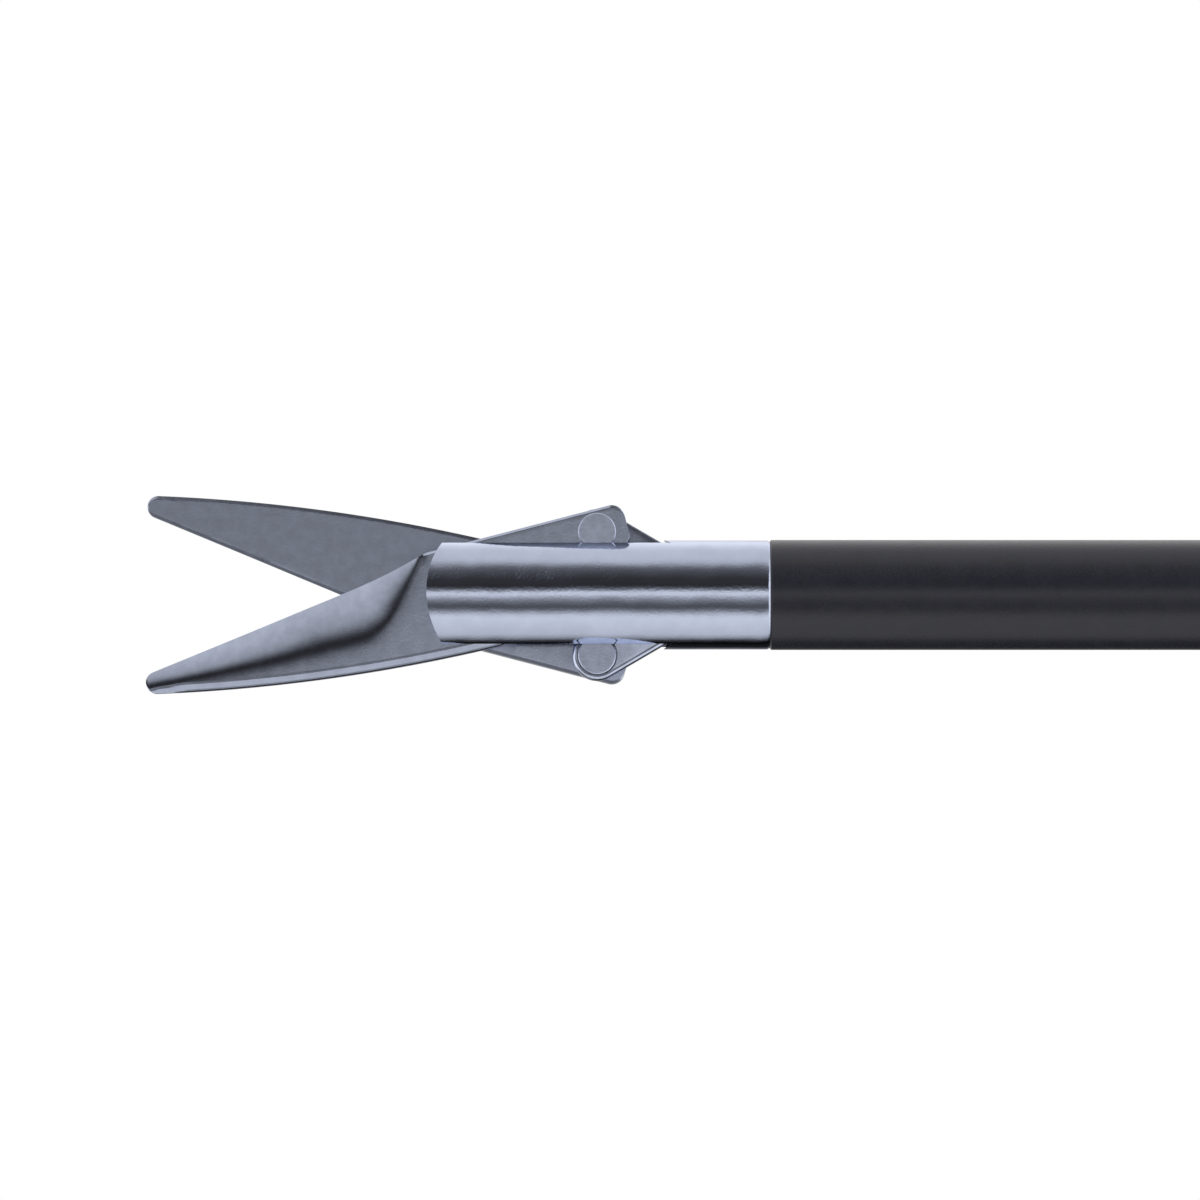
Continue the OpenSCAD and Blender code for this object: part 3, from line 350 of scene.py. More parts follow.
def steel(name, tint, dull, bright, shade=1.0, patchy=0.93, mottle=900, wave=0.0):
    finish = Finish(name)
    polish = finish.node("ShaderNodeAttribute", {"attribute_name": "polish"}, output="Fac")
    fine = finish.noise(finish.place, GRAIN, 4)
    cloud = finish.noise(finish.place, mottle, 3)
    base = finish.mix(finish.spread(cloud, 0.35, 0.65, 0, 1), colour([patchy * c for c in tint]),
                      colour(tint))
    base = finish.mix(polish, finish.node("ShaderNodeVectorMath", {"operation": "SCALE"},
                                          {"Vector": base, "Scale": shade}), base)
    rough = dull + (bright - dull) * polish
    rough = rough + (fine - 0.5) * ROUGH_BY_GRAIN + (cloud - 0.5) * ROUGH_BY_CLOUD
    normal = finish.bump(fine * (1 - polish * GRAIN_BUFFED_OFF), GRAIN_DEPTH)
    if wave:
        normal = finish.bump(finish.noise(finish.place, WAVES, 2), wave, normal)
    return finish.surface(base, rough, normal, metal=1.0)


STEEL_TINT = (0.63, 0.687, 0.86)
LINK_TINT = (0.7, 0.763, 0.95)
PIN_TINT = (0.72, 0.785, 0.98)
finishes = {
    "blade_steel": steel("blade_steel", STEEL_TINT, 0.34, 0.12, shade=0.79, patchy=0.88,
                         mottle=2000),
    "polished_steel": steel("polished_steel", STEEL_TINT, 0.075, 0.07, wave=0.00006),
    # Where polish is 0 this finish darkens its colour to 0.55. For the rear link that is painted
    # shade, where the clevis shades it.
    "tumbled_steel": steel("tumbled_steel", LINK_TINT, 0.3, 0.16, shade=0.55, patchy=0.84,
                           mottle=2600),
    "bright_steel": steel("bright_steel", PIN_TINT, 0.3, 0.2, patchy=0.85, mottle=2600),
    "satin_steel": steel("satin_steel", STEEL_TINT, 0.32, 0.2, shade=0.85),
    "spring_steel": steel("spring_steel", (0.62, 0.58, 0.5), 0.3, 0.2),
    "bronze": steel("bronze", (0.62, 0.42, 0.22), 0.32, 0.22),
}
print("steel:", ", ".join(finishes))

# %% [markdown]
# ## Plastics and rubber
# Moulded handles have a fine spark-eroded grain, the shaft's sleeve is smooth but not shiny, and
# silicone is matt. A picture of each could be wrapped round the pieces. One recipe of noise
# covers them all without seams, with its grain's size and depth as values.

# %% Plastic
DARK_PATCH = 0.92
PALE_PATCH = 1.08
MATT_BY_GRAIN = 0.12
MATT_BY_CLOUD = 0.1


def plastic(name, tint, rough, grain, depth, mottle=300):
    finish = Finish(name)
    fine = finish.noise(finish.place, grain, 3, 0.6)
    cloud = finish.noise(finish.place, mottle, 3)
    dark, pale = (colour([patch * c for c in tint]) for patch in (DARK_PATCH, PALE_PATCH))
    base = finish.mix(finish.spread(cloud, 0.3, 0.7, 0, 1), dark, pale)
    level = rough + (fine - 0.5) * MATT_BY_GRAIN + (cloud - 0.5) * MATT_BY_CLOUD
    return finish.surface(base, level, finish.bump(fine, depth))


finishes.update({
    "insulation": plastic("insulation", (0.0145, 0.0148, 0.0215), 0.28, 4500, 0.000006, 1200),
    "black_plastic": plastic("black_plastic", (0.028, 0.029, 0.032), 0.42, 2600, 0.00003),
    "grey_plastic": plastic("grey_plastic", (0.15, 0.155, 0.165), 0.4, 2600, 0.00002),
    "seal_rubber": plastic("seal_rubber", (0.045, 0.045, 0.05), 0.7, 3000, 0.00001),
    "white_polymer": plastic("white_polymer", (0.72, 0.72, 0.7), 0.35, 3000, 0.000005),
})
print("finishes:", len(finishes))

# %% [markdown]
# ## From numbers to a piece
# Every new piece is a mesh made from points in millimetres. One helper scales it, another gives
# it its finish, ties it to its body, and hides the model node that it stands for. `lattice_faces`
# joins rows of points into a skin, which serves for ground faces, turned rounds and bars alike.

# %% Pieces
def add_piece(name, points, faces, slot, body, node, polish=None, sharp=35, finish=None):
    mesh = bpy.data.meshes.new(name)
    mesh.from_pydata([tuple(float(c) * MM for c in p) for p in points], [], faces)
    mesh.validate()
    if polish is not None:
        layer = mesh.attributes.new("polish", "FLOAT", "POINT")
        layer.data.foreach_set("value", np.asarray(polish, np.float32))
    return finish_piece(name, mesh, slot, body, node, sharp, finish)


def paint(mesh, finish, sharp):
    mesh.materials.clear()
    mesh.materials.append(finishes[finish])
    for polygon in mesh.polygons:
        polygon.use_smooth = True
    mesh.set_sharp_from_angle(angle=math.radians(sharp))


def finish_piece(name, mesh, slot, body, node, sharp=35, finish=None):
    paint(mesh, finish or slot, sharp)
    piece = bpy.data.objects.new(name, mesh)
    scene.collection.objects.link(piece)
    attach(piece, body)
    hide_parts(node)
    print(name, len(mesh.polygons), "faces")
    return piece


def shade_evenly(piece):
    """Big faces keep a flat shade, and only the narrow ones at the edges turn."""
    piece.modifiers.new("even_shade", "WEIGHTED_NORMAL").keep_sharp = True


def lattice_faces(rows, columns, first=0, closed=False):
    faces = []
    for i in range(rows - 1):
        for j in range(columns if closed else columns - 1):
            k = (j + 1) % columns
            faces.append((first + i * columns + j, first + i * columns + k,
                          first + (i + 1) * columns + k, first + (i + 1) * columns + j))
    return faces


print("a lattice of 3 by 4 points has", len(lattice_faces(3, 4)), "faces")

# %% [markdown]
# ## Blades
# Both blades are one blank. Its inner face is lapped flat, because the shear plane lies there.
# The outer face is flat near the pivot, thins towards the tip, and is ground convex between the
# ridge and the cutting edge. The grind runs out in a curve before the clevis, and near the tip
# the ridge comes down to the edge. A blade could be carved with booleans, but a height over a
# lattice keeps the ridge a clean line and every slope smooth, so the outline and the heights are
# functions here, in the frame of a closed upper jaw.

# %% Blade sizes
WORKING_LENGTH = 330
JAW_LENGTH = 15.9
JAW_OPEN = 14.6
PIVOT_X = JAW_LENGTH - WORKING_LENGTH
ENVELOPE_R = 2.46
TIP_R = 0.5
TIP_DROP = 0.35
SPINE_R = 80
HEEL = [(-6.5, -1.62), (-3.9, -2.0), (-2.2, -ENVELOPE_R)]
TAIL_ARM = 5.82
TAIL_ANGLE = 14.3
TAIL_OVERHANG = 1.4
TAIL_CORNER_R = 0.6
TAIL_TOP_Z = -0.37
TAIL_NECK_R = 2.0
BLADE_THICKNESS = 0.84
TIP_THICKNESS = 0.65
TAPER_START = 3
LAYER_GAP = 0.03
RIDGE_Z = 0.68
RIDGE_ANGLE = 9
RIDGE_ROUND = 0.4
GRIND_R = 10
GRIND_START = 5.75
RUNOUT_R = 6.5
SPINE_CHAMFER = 0.44
CHAMFER_SLOPES = [(0, 0), (0.12, 0.04), (0.36, 0.25), (0.44, 0.42)]
EDGE_BREAK = 0.13
THIN_EDGE = 0.05
TIP_RIDGE_DROP = 0.33
TIP_ZONE = (-8, -15.4)
TIP_HOLLOW = 0.1

tip_centre = np.array([-(JAW_LENGTH - TIP_R), TIP_R - TIP_DROP])
spine_root = np.array([0, ENVELOPE_R])
link_pin_at = np.array([TAIL_ARM * math.cos(math.radians(TAIL_ANGLE)),
                        -TAIL_ARM * math.sin(math.radians(TAIL_ANGLE))])
tail_end = link_pin_at[0] + TAIL_OVERHANG


def spine_centre():
    span = np.linalg.norm(tip_centre - spine_root)
    bearing = math.atan2(*(tip_centre - spine_root)[::-1])
    corner = math.acos((SPINE_R ** 2 + span ** 2 - (SPINE_R - TIP_R) ** 2) / (2 * SPINE_R * span))
    return spine_root + SPINE_R * np.array([math.cos(bearing + corner), math.sin(bearing + corner)])


centre_x, centre_z = spine_centre()
print("spine centre", round(centre_x, 2), round(centre_z, 2))

# %% [markdown]
# ## The blade's outline
# The spine is one long curve that runs into the tip's round. The cutting edge is straight up to
# the heel, which bulges so that the jaws still cross when they stand open. Behind the pivot the
# tail narrows to its square end, where the link pin sits. Two functions give both sides for any
# x, which is simpler than a drawn curve, because the lattice asks for them station by station.

# %% Blade outline
def half_round(x, middle_x, middle_z, r, up):
    return middle_z + up * np.sqrt(np.clip(r ** 2 - (x - middle_x) ** 2, 0, None))


def spine_z(x):
    arc = half_round(x, centre_x, centre_z, SPINE_R, 1)
    nose = half_round(x, *tip_centre, TIP_R, 1)
    touch = tip_centre + TIP_R * (tip_centre - (centre_x, centre_z)) / np.linalg.norm(
        tip_centre - (centre_x, centre_z))
    front = np.where(x < touch[0], nose, arc)
    edge = np.array([tail_end - TAIL_CORNER_R, TAIL_TOP_Z])
    bearing = math.atan2(edge[1], edge[0]) + math.acos(TAIL_NECK_R / np.linalg.norm(edge))
    neck = TAIL_NECK_R * np.array([math.cos(bearing), math.sin(bearing)])
    line = neck[1] + (x - neck[0]) * (edge[1] - neck[1]) / (edge[0] - neck[0])
    shoulder = half_round(x, 0, 0, ENVELOPE_R, 1)
    corner = half_round(x, edge[0], TAIL_TOP_Z - TAIL_CORNER_R, TAIL_CORNER_R, 1)
    back = np.where(x > edge[0], corner, np.maximum(line, np.where(x < ENVELOPE_R, shoulder, -9)))
    return np.where(x < 0, front, back)


def edge_z(x):
    heel_start = np.array(HEEL[0])
    span = np.linalg.norm(heel_start - tip_centre)
    bearing = math.atan2(*(heel_start - tip_centre)[::-1]) - math.acos(TIP_R / span)
    touch = tip_centre + TIP_R * np.array([math.cos(bearing), math.sin(bearing)])
    nose = half_round(x, *tip_centre, TIP_R, -1)
    line = touch[1] + (x - touch[0]) * (HEEL[0][1] - touch[1]) / (HEEL[0][0] - touch[0])
    t = np.linspace(0, 1, 60)[:, None]
    a, b, c = (np.array(p) for p in HEEL)
    curve = (1 - t) ** 2 * a + 2 * t * (1 - t) * b + t ** 2 * c
    heel = np.interp(x, curve[:, 0], curve[:, 1])
    corner_x = tail_end - TAIL_CORNER_R
    corner = half_round(x, corner_x, TAIL_CORNER_R - ENVELOPE_R, TAIL_CORNER_R, -1)
    front = np.where(x < touch[0], nose, line)
    return np.where(x < HEEL[0][0], front, np.where(x > corner_x, corner, heel))


for x in (-10, 0, 5):
    print("at x", x, "from", round(float(edge_z(x)), 2), "to", round(float(spine_z(x)), 2))

# %% [markdown]
# ## The blade's faces
# A cup wheel and a rocking fixture leave a convex face. Its radius stays the same along the blade
# and grows where the wheel is let out, so the ridge bends down to the cutting edge there, and the
# grind ends in a curve. A bevel modifier could make a plain slope, but not that curve, so the
# height below is worked out as an arc under the ridge. Every rim of the inner face is rolled off
# a little, as lapping on a soft plate does.

# %% Blade faces
grind_axis_z = RIDGE_Z + GRIND_R * math.sin(math.radians(RIDGE_ANGLE))
grind_depth = GRIND_R * math.cos(math.radians(RIDGE_ANGLE))


def grind_radius(x):
    along = np.clip(x + GRIND_START, 0, 0.999 * RUNOUT_R)
    return GRIND_R + RUNOUT_R - np.sqrt(RUNOUT_R ** 2 - along ** 2)


def ridge_z(x):
    return grind_axis_z - np.sqrt(grind_radius(x) ** 2 - grind_depth ** 2)


def outer_y(x, z):
    """The outer face's height. Near the ridge the drop is blended into the flat."""
    thin = (BLADE_THICKNESS - TIP_THICKNESS) / (JAW_LENGTH - TAPER_START)
    face = LAYER_GAP + BLADE_THICKNESS - thin * np.clip(-x - TAPER_START, 0, None)
    down = ridge_z(x) - z
    steep = (grind_axis_z - ridge_z(x)) / grind_depth
    soft = (np.sqrt((down + RIDGE_ROUND / 2) ** 2 + RIDGE_ROUND ** 2) + down + RIDGE_ROUND / 2) / 2
    bar = np.sqrt(np.clip(grind_radius(x) ** 2 - (grind_axis_z - z) ** 2, 0, None))
    ground = face - np.where(down > 0, grind_depth - bar - steep * down, 0) - steep * soft
    return np.maximum(ground, LAYER_GAP + THIN_EDGE)


EDGE_ROLL = 0.18
ROLL_SLOPE = 0.3
ROLL_KNEE = 0.05


def roll(distance):
    inside = np.clip(EDGE_ROLL - distance, 0, None)
    bend = inside ** 2 / (2 * ROLL_KNEE)
    return ROLL_SLOPE * np.where(inside < ROLL_KNEE, bend, inside - ROLL_KNEE / 2)


print("ridge at mid blade", round(float(ridge_z(-8)), 2))
print("ridge at the runout", round(float(ridge_z(-1)), 2))

# %% [markdown]
# ## The blades' meshes
# Each station along the blade gets one row of points from the edge over the ridge to the spine,
# and one for the inner face. The stations crowd at the tip and at the tail's corner, where the
# outline turns fast. The ground face is buffed, the flat is lapped and a little brighter beside
# the ridge, and the spine's chamfer lies between. One mesh serves both jaws: the lower is the
# same one turned over.

# %% Blade meshes
NOSE_SWEEP = (0.12, 1.35)
NOSE_STEPS = 14
LENGTH_STEPS = 170
TAIL_SWEEP = (0, 1.5)
TAIL_STEPS = 10
GROUND_STEPS = 30
FLAT_STEPS = 12
SLOPE_STEPS = 9
LEAST_SPINE = 0.1
LEAST_FLAT = 0.02
FLAT_POLISH = 0.35
GLEAM_WIDTH = 0.5
SLOPE_POLISH = (0.1, 0.4)
RIM_POLISH = 0.5
TAIL_FROM = 2


def blade_stations():
    nose = tip_centre[0] - TIP_R * np.cos(np.linspace(*NOSE_SWEEP, NOSE_STEPS))
    middle = np.linspace(nose[-1], tail_end - TAIL_CORNER_R, LENGTH_STEPS)[1:]
    end = tail_end - TAIL_CORNER_R * (1 - np.sin(np.linspace(*TAIL_SWEEP, TAIL_STEPS)[1:]))
    return np.concatenate([nose, middle, end])


def blade_points():
    outer, inner, polish_and_painted_shade = [], [], []
    for x in blade_stations():
        low, high = float(edge_z(x)), float(spine_z(x))
        lift = float(np.clip((x - TIP_ZONE[0]) / (TIP_ZONE[1] - TIP_ZONE[0]), 0, 1))
        shift = TIP_RIDGE_DROP * lift ** 2
        ridge = min(max(float(ridge_z(x)) - shift, low + EDGE_BREAK), high - LEAST_SPINE)
        share = max(EDGE_BREAK / SPINE_CHAMFER, min(1, 1 - x))
        chamfer = max(high - SPINE_CHAMFER * share, ridge + LEAST_FLAT)
        ground = low + (ridge - low) * np.linspace(0, 1, GROUND_STEPS)
        flat = np.linspace(ridge, chamfer, FLAT_STEPS)[1:]
        slope = np.linspace(chamfer, high, SLOPE_STEPS)[1:]
        z = np.concatenate([ground, flat, slope])
        y = outer_y(x, z + shift) - TIP_HOLLOW * lift * np.clip(ridge - z, 0, None) ** 2
        drop = share * np.interp((z - chamfer) / share, *zip(*CHAMFER_SLOPES))
        if x > HEEL[-1][0]:
            drop = drop + roll(EDGE_ROLL / EDGE_BREAK * (z - low))
        y = np.maximum(y - drop, LAYER_GAP + THIN_EDGE)
        outer.append(np.column_stack([np.full_like(z, x), y, z]))
        edge = np.minimum(z - low, high - z)
        inner.append(np.column_stack([np.full_like(z, x), LAYER_GAP + roll(edge), z]))
        gleam = np.clip(1 - (flat - ridge) / GLEAM_WIDTH, FLAT_POLISH, 1)
        bright = np.concatenate([np.ones(GROUND_STEPS), gleam,
                                 np.linspace(*SLOPE_POLISH, SLOPE_STEPS - 1)])
        lapped = FLAT_POLISH if x > TAIL_FROM else 0
        polish_and_painted_shade.append((bright, np.clip(1 - edge / EDGE_ROLL, lapped, RIM_POLISH)))
    return np.array(outer), np.array(inner), polish_and_painted_shade


outer, inner, polish_and_painted_shade = blade_points()
rows, columns = outer.shape[:2]
print("blade lattice", rows, "by", columns)


def blade_mesh():
    points = np.concatenate([outer.reshape(-1, 3), inner.reshape(-1, 3)])
    polish = np.concatenate([row[side] for side in (0, 1) for row in polish_and_painted_shade])
    count = rows * columns
    faces = lattice_faces(rows, columns)
    faces += [tuple(reversed(f)) for f in lattice_faces(rows, columns, count)]
    rim = [i * columns for i in range(rows)]
    rim += [(rows - 1) * columns + j for j in range(1, columns)]
    rim += [i * columns + columns - 1 for i in range(rows - 2, -1, -1)]
    rim += range(columns - 2, 0, -1)
    for k, a in enumerate(rim):
        b = rim[(k + 1) % len(rim)]
        faces.append((b, a, a + count, b + count))
    return points, faces, polish


def turned(points, jaw):
    """A closed upper jaw's points, moved to the open upper or lower jaw."""
    angle = math.radians(JAW_OPEN)
    matrix = Matrix.Rotation(angle, 3, "Y")
    if jaw == "lower":
        matrix = Matrix.Rotation(-angle, 3, "Y") @ Matrix.Rotation(math.pi, 3, "X")
    return points @ np.array(matrix).T + (PIVOT_X, 0, 0)


points, faces, polish = blade_mesh()
for jaw, node in (("upper", "blade_rear"), ("lower", "blade_front")):
    add_piece("dressed_" + node, turned(points, jaw), faces, "blade_steel", jaw + "_jaw", node,
              polish, sharp=8)

# %% [markdown]
# ## Tools for the clevis
# A turned piece is a profile spun about the shaft's axis, in so many steps that its stripes stay
# smooth. A screw modifier could spin it, but points in a lattice need no modifier to be kept.
# Slots and bores are cut with booleans, as the real ones are cut with saw and drill.

# %% Turned pieces
SPIN_STEPS = 256
NEAR_AXIS = 0.001


def spun(profile, steps=SPIN_STEPS):
    """A closed ring of faces from a profile of (x, r), whose ends lie on the axis."""
    angles = np.linspace(0, 2 * math.pi, steps, endpoint=False)
    points = [(x, r * math.sin(a), r * math.cos(a)) for x, r in profile for a in angles]
    faces = [tuple(reversed(f)) for f in lattice_faces(len(profile), steps, closed=True)]
    faces.append(tuple(range(steps)))
    faces.append(tuple(reversed(range((len(profile) - 1) * steps, len(profile) * steps))))
    return points, faces


def arc(x, r, radius, start, stop, steps):
    return [(x + radius * math.cos(math.radians(a)), r + radius * math.sin(math.radians(a)))
            for a in np.linspace(start, stop, steps)]


def mesh_of(name, points, faces):
    mesh = bpy.data.meshes.new(name)
    mesh.from_pydata([tuple(float(c) * MM for c in p) for p in points], [], faces)
    mesh.update()
    return mesh


def cut(mesh, cutters):
    """The mesh with every cutter taken out of it, made by booleans whose result is kept."""
    body = bpy.data.objects.new("cut_body", mesh)
    scene.collection.objects.link(body)
    tools = []
    for number, cutter in enumerate(cutters):
        tool = bpy.data.objects.new("cutter_%d" % number, cutter)
        scene.collection.objects.link(tool)
        tools.append(tool)
        step = body.modifiers.new("cut", "BOOLEAN")
        step.operation = "DIFFERENCE"
        step.solver = "EXACT"
        step.object = tool
    bpy.context.view_layer.update()
    seen_body = body.evaluated_get(bpy.context.evaluated_depsgraph_get())
    result = bpy.data.meshes.new_from_object(seen_body)
    for thing in [body] + tools:
        bpy.data.objects.remove(thing)
    return result


def slab(outline, y0, y1):
    """A plate with a flat outline in x and z, between two values of y."""
    n = len(outline)
    points = [(x, y0, z) for x, z in outline] + [(x, y1, z) for x, z in outline]
    faces = [tuple(range(n)), tuple(reversed(range(n, 2 * n)))]
    faces += [(i, i + n, (i + 1) % n + n, (i + 1) % n) for i in range(n)]
    return points, faces


print("a spun bar has", len(spun([(0, 1), (1, 1)])[1]), "faces")

# %% [markdown]
# ## The clevis
# The clevis is turned, slotted and polished. Its nose is rounded in side view, so that it slips
# through the port. The slot's end is slanted like the links, once for the open jaws and once for
# the closed ones, so it has a corner on each side. The same sums as in the linkage give its
# place. The edges are broken by a narrow bevel, which is what catches the light along the slot.

# %% Clevis mesh
CLEVIS_R = 2.48
NOSE_REACH = 2.62
NOSE_R = 4.2
CLEVIS_LENGTH = 12.95
SLOT_WIDTH = 1.84
BORE_R = 1.65
LINK_LENGTH = 5.46
LINK_END_R = 1.12
LINK_YOKE_R = 1.18
SLOT_END_GAP = 0.15
ROD_STROKE = 1.194317
CLEVIS_BREAK = 0.05

open_angle = math.radians(TAIL_ANGLE + JAW_OPEN)
closed_angle = math.radians(TAIL_ANGLE)


def link_tilt(angle):
    return math.asin(TAIL_ARM * math.sin(angle) / LINK_LENGTH)


def yoke_reach(angle):
    return TAIL_ARM * math.cos(angle) + LINK_LENGTH * math.cos(link_tilt(angle))


def link_top_x(reach, tilt, z):
    return reach + (LINK_YOKE_R / math.cos(tilt) - z) / math.tan(tilt) + SLOT_END_GAP


OUTSIDE = 1.0
bore_side_z = math.sqrt(BORE_R ** 2 - (LAYER_GAP + BLADE_THICKNESS) ** 2)
closed_reach = yoke_reach(open_angle) + ROD_STROKE
top_z = CLEVIS_R + OUTSIDE
slot_top = [(link_top_x(closed_reach, link_tilt(closed_angle), bore_side_z), bore_side_z),
            (link_top_x(closed_reach, link_tilt(closed_angle), BORE_R), BORE_R),
            (link_top_x(yoke_reach(open_angle), link_tilt(open_angle), top_z), top_z),
            (-NOSE_REACH - OUTSIDE, top_z)]
slot_outline = slot_top + [(x, -z) for x, z in reversed(slot_top)]

BACK_BEVEL = (0.13, 0.06)
profile = [(-NOSE_REACH - OUTSIDE, NEAR_AXIS), (-NOSE_REACH - OUTSIDE, CLEVIS_R)]
profile += [(x, CLEVIS_R) for x in np.linspace(-NOSE_REACH, CLEVIS_LENGTH - BACK_BEVEL[0], 40)]
profile += [(CLEVIS_LENGTH, CLEVIS_R - BACK_BEVEL[1]), (CLEVIS_LENGTH, NEAR_AXIS)]
clevis_mesh = mesh_of("clevis", *spun(profile))
bore = mesh_of("bore", *spun([(0, BORE_R), (CLEVIS_LENGTH + OUTSIDE, BORE_R)], 96))
slot = mesh_of("slot", *slab(slot_outline, -SLOT_WIDTH / 2, SLOT_WIDTH / 2))
nose = arc(NOSE_R - NOSE_REACH, 0, NOSE_R, 240, 120, 60)
nose += [(-3 * NOSE_REACH, 3 * CLEVIS_R), (-3 * NOSE_REACH, -3 * CLEVIS_R)]
before_nose = mesh_of("before_nose", *slab(nose, -CLEVIS_R - OUTSIDE, CLEVIS_R + OUTSIDE))
clevis_mesh = cut(clevis_mesh, [bore, slot, before_nose])
clevis_mesh.transform(Matrix.Translation((PIVOT_X * MM, 0, 0)))
clevis = finish_piece("dressed_clevis", clevis_mesh, "polished_steel", "shaft", "distal_clevis", 30)
edges = clevis.modifiers.new("edges", "BEVEL")
edges.width = CLEVIS_BREAK * MM
edges.segments = 2
edges.limit_method = "ANGLE"
edges.angle_limit = math.radians(30)
edges.harden_normals = True

# %% [markdown]
# ## Links
# Each link is a flat bar with an eye at each end, stamped and tumbled. Its outer rim is rounded
# wide and its inner rim is only broken, because the inner face slides beside the shear plane. A
# bevel modifier rounds both rims alike, so the bar is a stack of outlines instead, each with its
# own inset. Both links have one finish, but the rear link's colour is painted darker, as painted
# shade where the clevis's front prong shades it.

# %% Links
YOKE_PIN_R = 0.5
LINK_PIN_R = 0.75
LINK_PLAY = 0.1
EYE_FLARE = 0.08
EYE_STEPS = 48
RUNNING_GAP = 0.03
LINK_RIMS = [(0.08, 0), (0, 0.06), (0, 0.66), (0.05, 0.76), (0.13, 0.82), (0.25, 0.84)]
layer_outer = LAYER_GAP + BLADE_THICKNESS
yoke_x = PIVOT_X + yoke_reach(open_angle)
link_angle = link_tilt(open_angle)


def bar_outline(length, near_r, far_r, steps=48):
    lean = math.degrees(math.acos((near_r - far_r) / length))
    near = arc(0, 0, near_r, lean - 180, 180 - lean, steps)
    far = arc(-length, 0, far_r, 180 - lean, 180 + lean, steps)
    return near + far


def link_bar():
    """A bar whose outer rim is rounded off wide, and whose inner rim is only broken."""
    points, steps = [], 0
    for inset, height in LINK_RIMS:
        outline = bar_outline(LINK_LENGTH, LINK_YOKE_R - inset, LINK_END_R - inset)
        steps = len(outline)
        points += [(x, LAYER_GAP + height, z) for x, z in outline]
    last = (len(LINK_RIMS) - 1) * steps
    faces = [tuple(reversed(f)) for f in lattice_faces(len(LINK_RIMS), steps, closed=True)]
    faces.append(tuple(range(steps)))
    faces.append(tuple(reversed(range(last, last + steps))))
    return points, faces


def link_mesh(polish_and_painted_shade):
    bar = mesh_of("bar", *link_bar())
    eyes = []
    for x, r in ((0, YOKE_PIN_R + RUNNING_GAP), (-LINK_LENGTH, LINK_PIN_R + LINK_PLAY + EYE_FLARE)):
        round_eye = arc(0, 0, r, 0, 360 - 360 / EYE_STEPS, EYE_STEPS)
        points, faces = slab(round_eye, -OUTSIDE, layer_outer + OUTSIDE)
        eyes.append(mesh_of("eye", [(px + x, py, pz) for px, py, pz in points], faces))
    mesh = cut(bar, eyes)
    mesh.transform(Matrix.Rotation(link_angle, 4, "Y"))
    layer = mesh.attributes.new("polish", "FLOAT", "POINT")
    layer.data.foreach_set("value", np.full(len(mesh.vertices), polish_and_painted_shade, np.float32))
    return mesh


# The two links are one part with one finish. The rear (upper) link gets polish 0, which paints its
# colour darker as painted shade where the clevis's front prong shades it. The front (lower) link
# gets polish 1 and keeps its full colour.
for side_name, node, polish_and_painted_shade in (("upper", "link_rear", 0.0), ("lower", "link_front", 1.0)):
    mesh = link_mesh(polish_and_painted_shade)
    if side_name == "lower":
        mesh.transform(Matrix.Rotation(math.pi, 4, "X"))
    mesh.transform(Matrix.Translation((yoke_x * MM, 0, 0)))
    finish_piece("dressed_" + node, mesh, "blade_steel", side_name + "_link", node, 40,
                 "tumbled_steel")

# %% [markdown]
# ## Pins
# A link pin is pressed into the jaw's tail, and a punch spreads its ends into thin heads, which
# stand just proud. The pivot pin is ground off with the clevis and polished with it, so nothing
# of it shows. All three are one spun profile, with heads or without.

# %% Pins
PIN_PROUD = 0.03
PIN_CHAMFER = 0.04
PIN_HEAD_R = 0.86
PIN_HEAD_DEPTH = 0.1
PIN_STEPS = 64
PIVOT_PIN_R = 0.8
PIVOT_PIN_INSET = 0.25


def pin_points(y0, y1, r, head_r):
    neck = PIN_CHAMFER + PIN_HEAD_DEPTH
    half = [(0, NEAR_AXIS), (0, head_r - PIN_CHAMFER), (PIN_CHAMFER, head_r),
            (PIN_HEAD_DEPTH, head_r), (neck, r)]
    profile = [(y0 + y, r) for y, r in half] + [(y1 - y, r) for y, r in reversed(half)]
    points, faces = spun(profile, PIN_STEPS)
    return np.array([(z, x, y) for x, y, z in points]), faces


for jaw, node in (("upper", "link_pin_rear"), ("lower", "link_pin_front")):
    end = layer_outer + PIN_PROUD
    points, faces = pin_points(-end, end, LINK_PIN_R, PIN_HEAD_R)
    points = turned(points + (link_pin_at[0], 0, link_pin_at[1]), jaw)
    add_piece("dressed_" + node, points, faces, "polished_steel", jaw + "_jaw", node,
              finish="bright_steel")
end = CLEVIS_R - PIVOT_PIN_INSET
points, faces = pin_points(-end, end, PIVOT_PIN_R, PIVOT_PIN_R)
add_piece("dressed_pivot_pin", points + (PIVOT_X, 0, 0), faces, "polished_steel", "shaft",
          "jaw_pivot_pin")

# %% [markdown]
# ## The insulating sleeve
# The sleeve is a plain tube, cut square at the front with its edge just broken, so the step up
# from the clevis shows as a thin line. It could be a cylinder with a bevel, but a tube of five
# rings of points has its bore too, which shows when the sleeve is seen on its own.

# %% Sleeve
SLEEVE_R = 2.5
SLEEVE_BORE_R = 2.2
SLEEVE_FRONT = PIVOT_X + CLEVIS_LENGTH
SLEEVE_BREAK = 0.06
SLEEVE_STEPS = 128

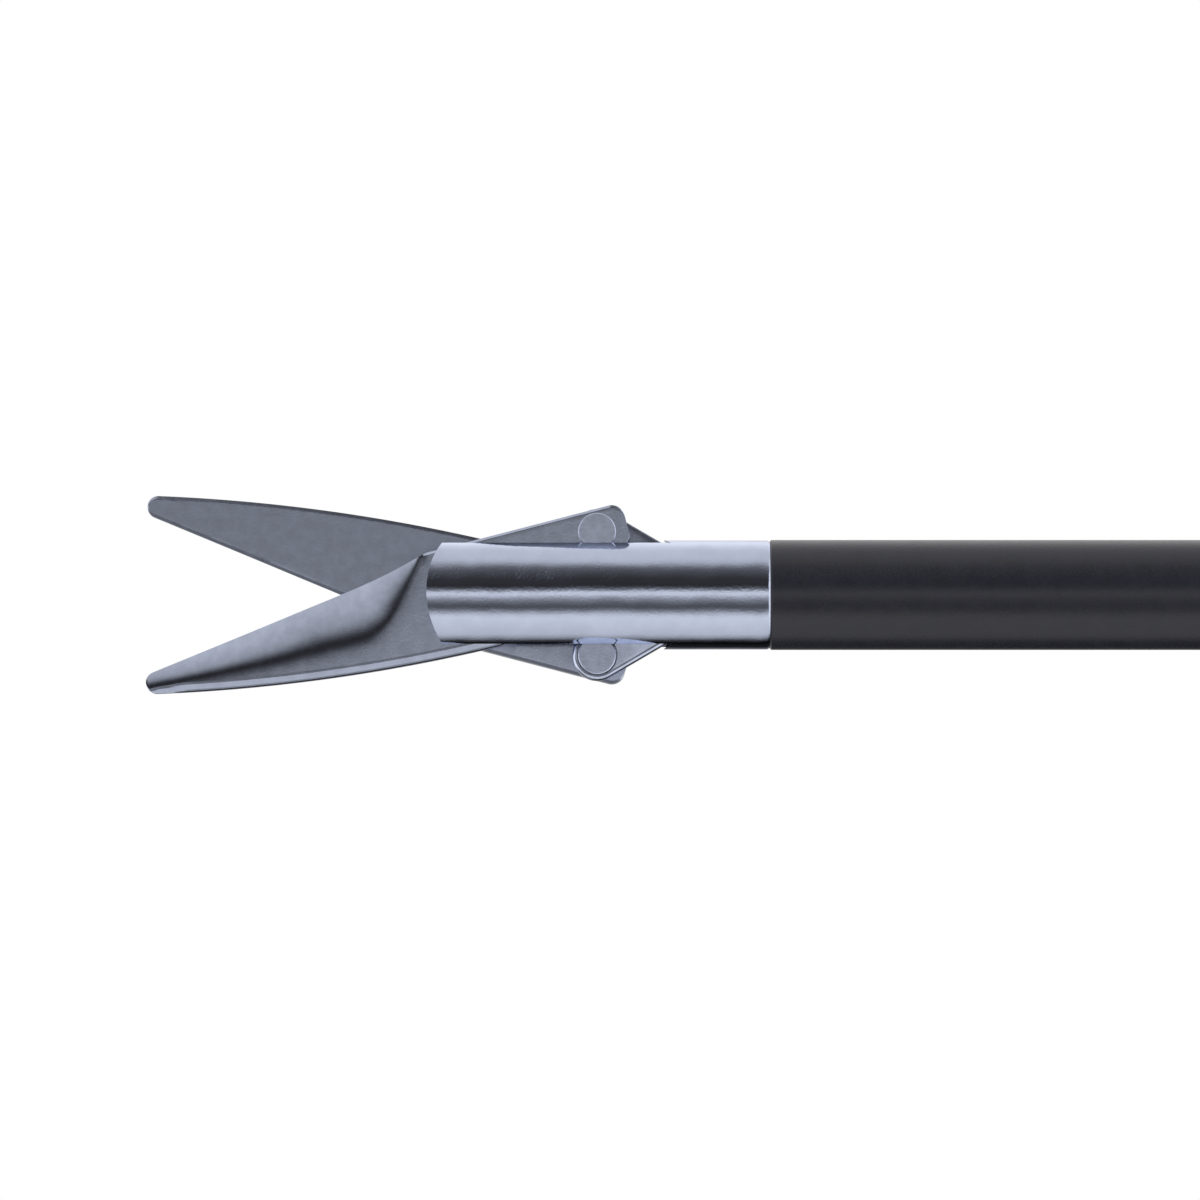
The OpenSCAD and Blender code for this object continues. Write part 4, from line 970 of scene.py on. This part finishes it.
tube = [(SLEEVE_FRONT, SLEEVE_BORE_R), (SLEEVE_FRONT, SLEEVE_R - SLEEVE_BREAK),
        (SLEEVE_FRONT + SLEEVE_BREAK, SLEEVE_R), (0, SLEEVE_R), (0, SLEEVE_BORE_R)]
last = (len(tube) - 1) * SLEEVE_STEPS
angles = np.linspace(0, 2 * math.pi, SLEEVE_STEPS, endpoint=False)
points = [(x, r * math.sin(a), r * math.cos(a)) for x, r in tube for a in angles]
faces = [tuple(reversed(f)) for f in lattice_faces(len(tube), SLEEVE_STEPS, closed=True)]
for j in range(SLEEVE_STEPS):
    k = (j + 1) % SLEEVE_STEPS
    faces.append((j, k, last + k, last + j))
add_piece("dressed_sleeve", points, faces, "insulation", "shaft", "insulation_sleeve")

# %% [markdown]
# ## The handle side
# Moulded and turned pieces have no knife edges: a mould is polished at its corners, and a turner
# breaks every edge with a file. These pieces start from a copy of the model's mesh. Its flat
# triangles are joined, so that only real edges are left, and then those edges are rounded.
# Modelling the pieces anew would give the same shapes with more work.

# %% Rounded edges
SAME_POINT = 1e-7
SAME_LEVEL = 1e-6
MERGE = 0.02
REAL_EDGE = 35
EDGE_WIDTHS = {
    "handle_shell_left": 0.3, "handle_shell_right": 0.3, "thumb_grip": 0.3, "rotation_knob": 0.25,
    "flush_hub": 0.25, "luer_port": 0.1, "luer_cap": 0.15, "cable_post": 0.15, "post_collar": 0.25,
    "shell_screws": 0.12, "lever_axle": 0.15, "lever_plate": 0.12, "grip_rivets": 0.1,
}
FLAT_SIDES = {"handle_shell_left": (8,), "handle_shell_right": (-8,), "thumb_grip": (-5.4, 5.4)}
slot_of = {part["node"]: part["material_slot"] for part in frame["record"]["subparts"]}


def refill_flat(work, level):
    """A flat side filled again from its rim, as its long triangles overlap at hollow curves."""
    flat = [f for f in work.faces if all(abs(v.co.y - level * MM) < SAME_LEVEL for v in f.verts)]
    if flat:
        bmesh.ops.delete(work, geom=flat, context="FACES")
        rim = [e for e in work.edges if e.is_boundary]
        outward = (0, math.copysign(1, level), 0)
        bmesh.ops.triangle_fill(work, use_beauty=True, edges=rim, normal=outward)


def rounded_copy(name, width):
    node = frame["nodes"][name]
    work = bmesh.new()
    work.from_mesh(node.data)
    work.transform(node.matrix_world)
    bmesh.ops.remove_doubles(work, verts=work.verts, dist=SAME_POINT)
    for level in FLAT_SIDES.get(name, ()):
        refill_flat(work, level)
    bmesh.ops.recalc_face_normals(work, faces=work.faces)
    bmesh.ops.remove_doubles(work, verts=work.verts, dist=MERGE * MM)
    bmesh.ops.dissolve_degenerate(work, edges=work.edges, dist=MERGE * MM)
    bmesh.ops.dissolve_limit(work, angle_limit=math.radians(1), verts=work.verts, edges=work.edges)
    least_turn = math.radians(REAL_EDGE)
    real = [e for e in work.edges if e.is_manifold and e.calc_face_angle(0) > least_turn]
    bmesh.ops.bevel(work, geom=real, offset=width * MM, segments=2, profile=0.5, affect="EDGES",
                    clamp_overlap=True)
    mesh = bpy.data.meshes.new(name)
    work.to_mesh(mesh)
    print(name, "open edges:", sum(not e.is_manifold for e in work.edges))
    work.free()
    body = node.parent.name.split(":")[1]
    shade_evenly(finish_piece("dressed_" + name, mesh, slot_of[name], body, name, 40))


for name, width in EDGE_WIDTHS.items():
    rounded_copy(name, width)

# %% [markdown]
# ## The nodes that stay
# The other pieces, such as the rod, the spring and the nuts, are small or hidden. They could have
# meshes of their own too, but nobody would see the difference. They keep their model meshes,
# their facets are smoothed by angle, and each gets the finish that its record names.

# %% Finishes for the rest
for name, node in frame["nodes"].items():
    paint(node.data, slot_of[name], 30)
    shade_evenly(node)
print("finished", len(slot_of), "nodes")
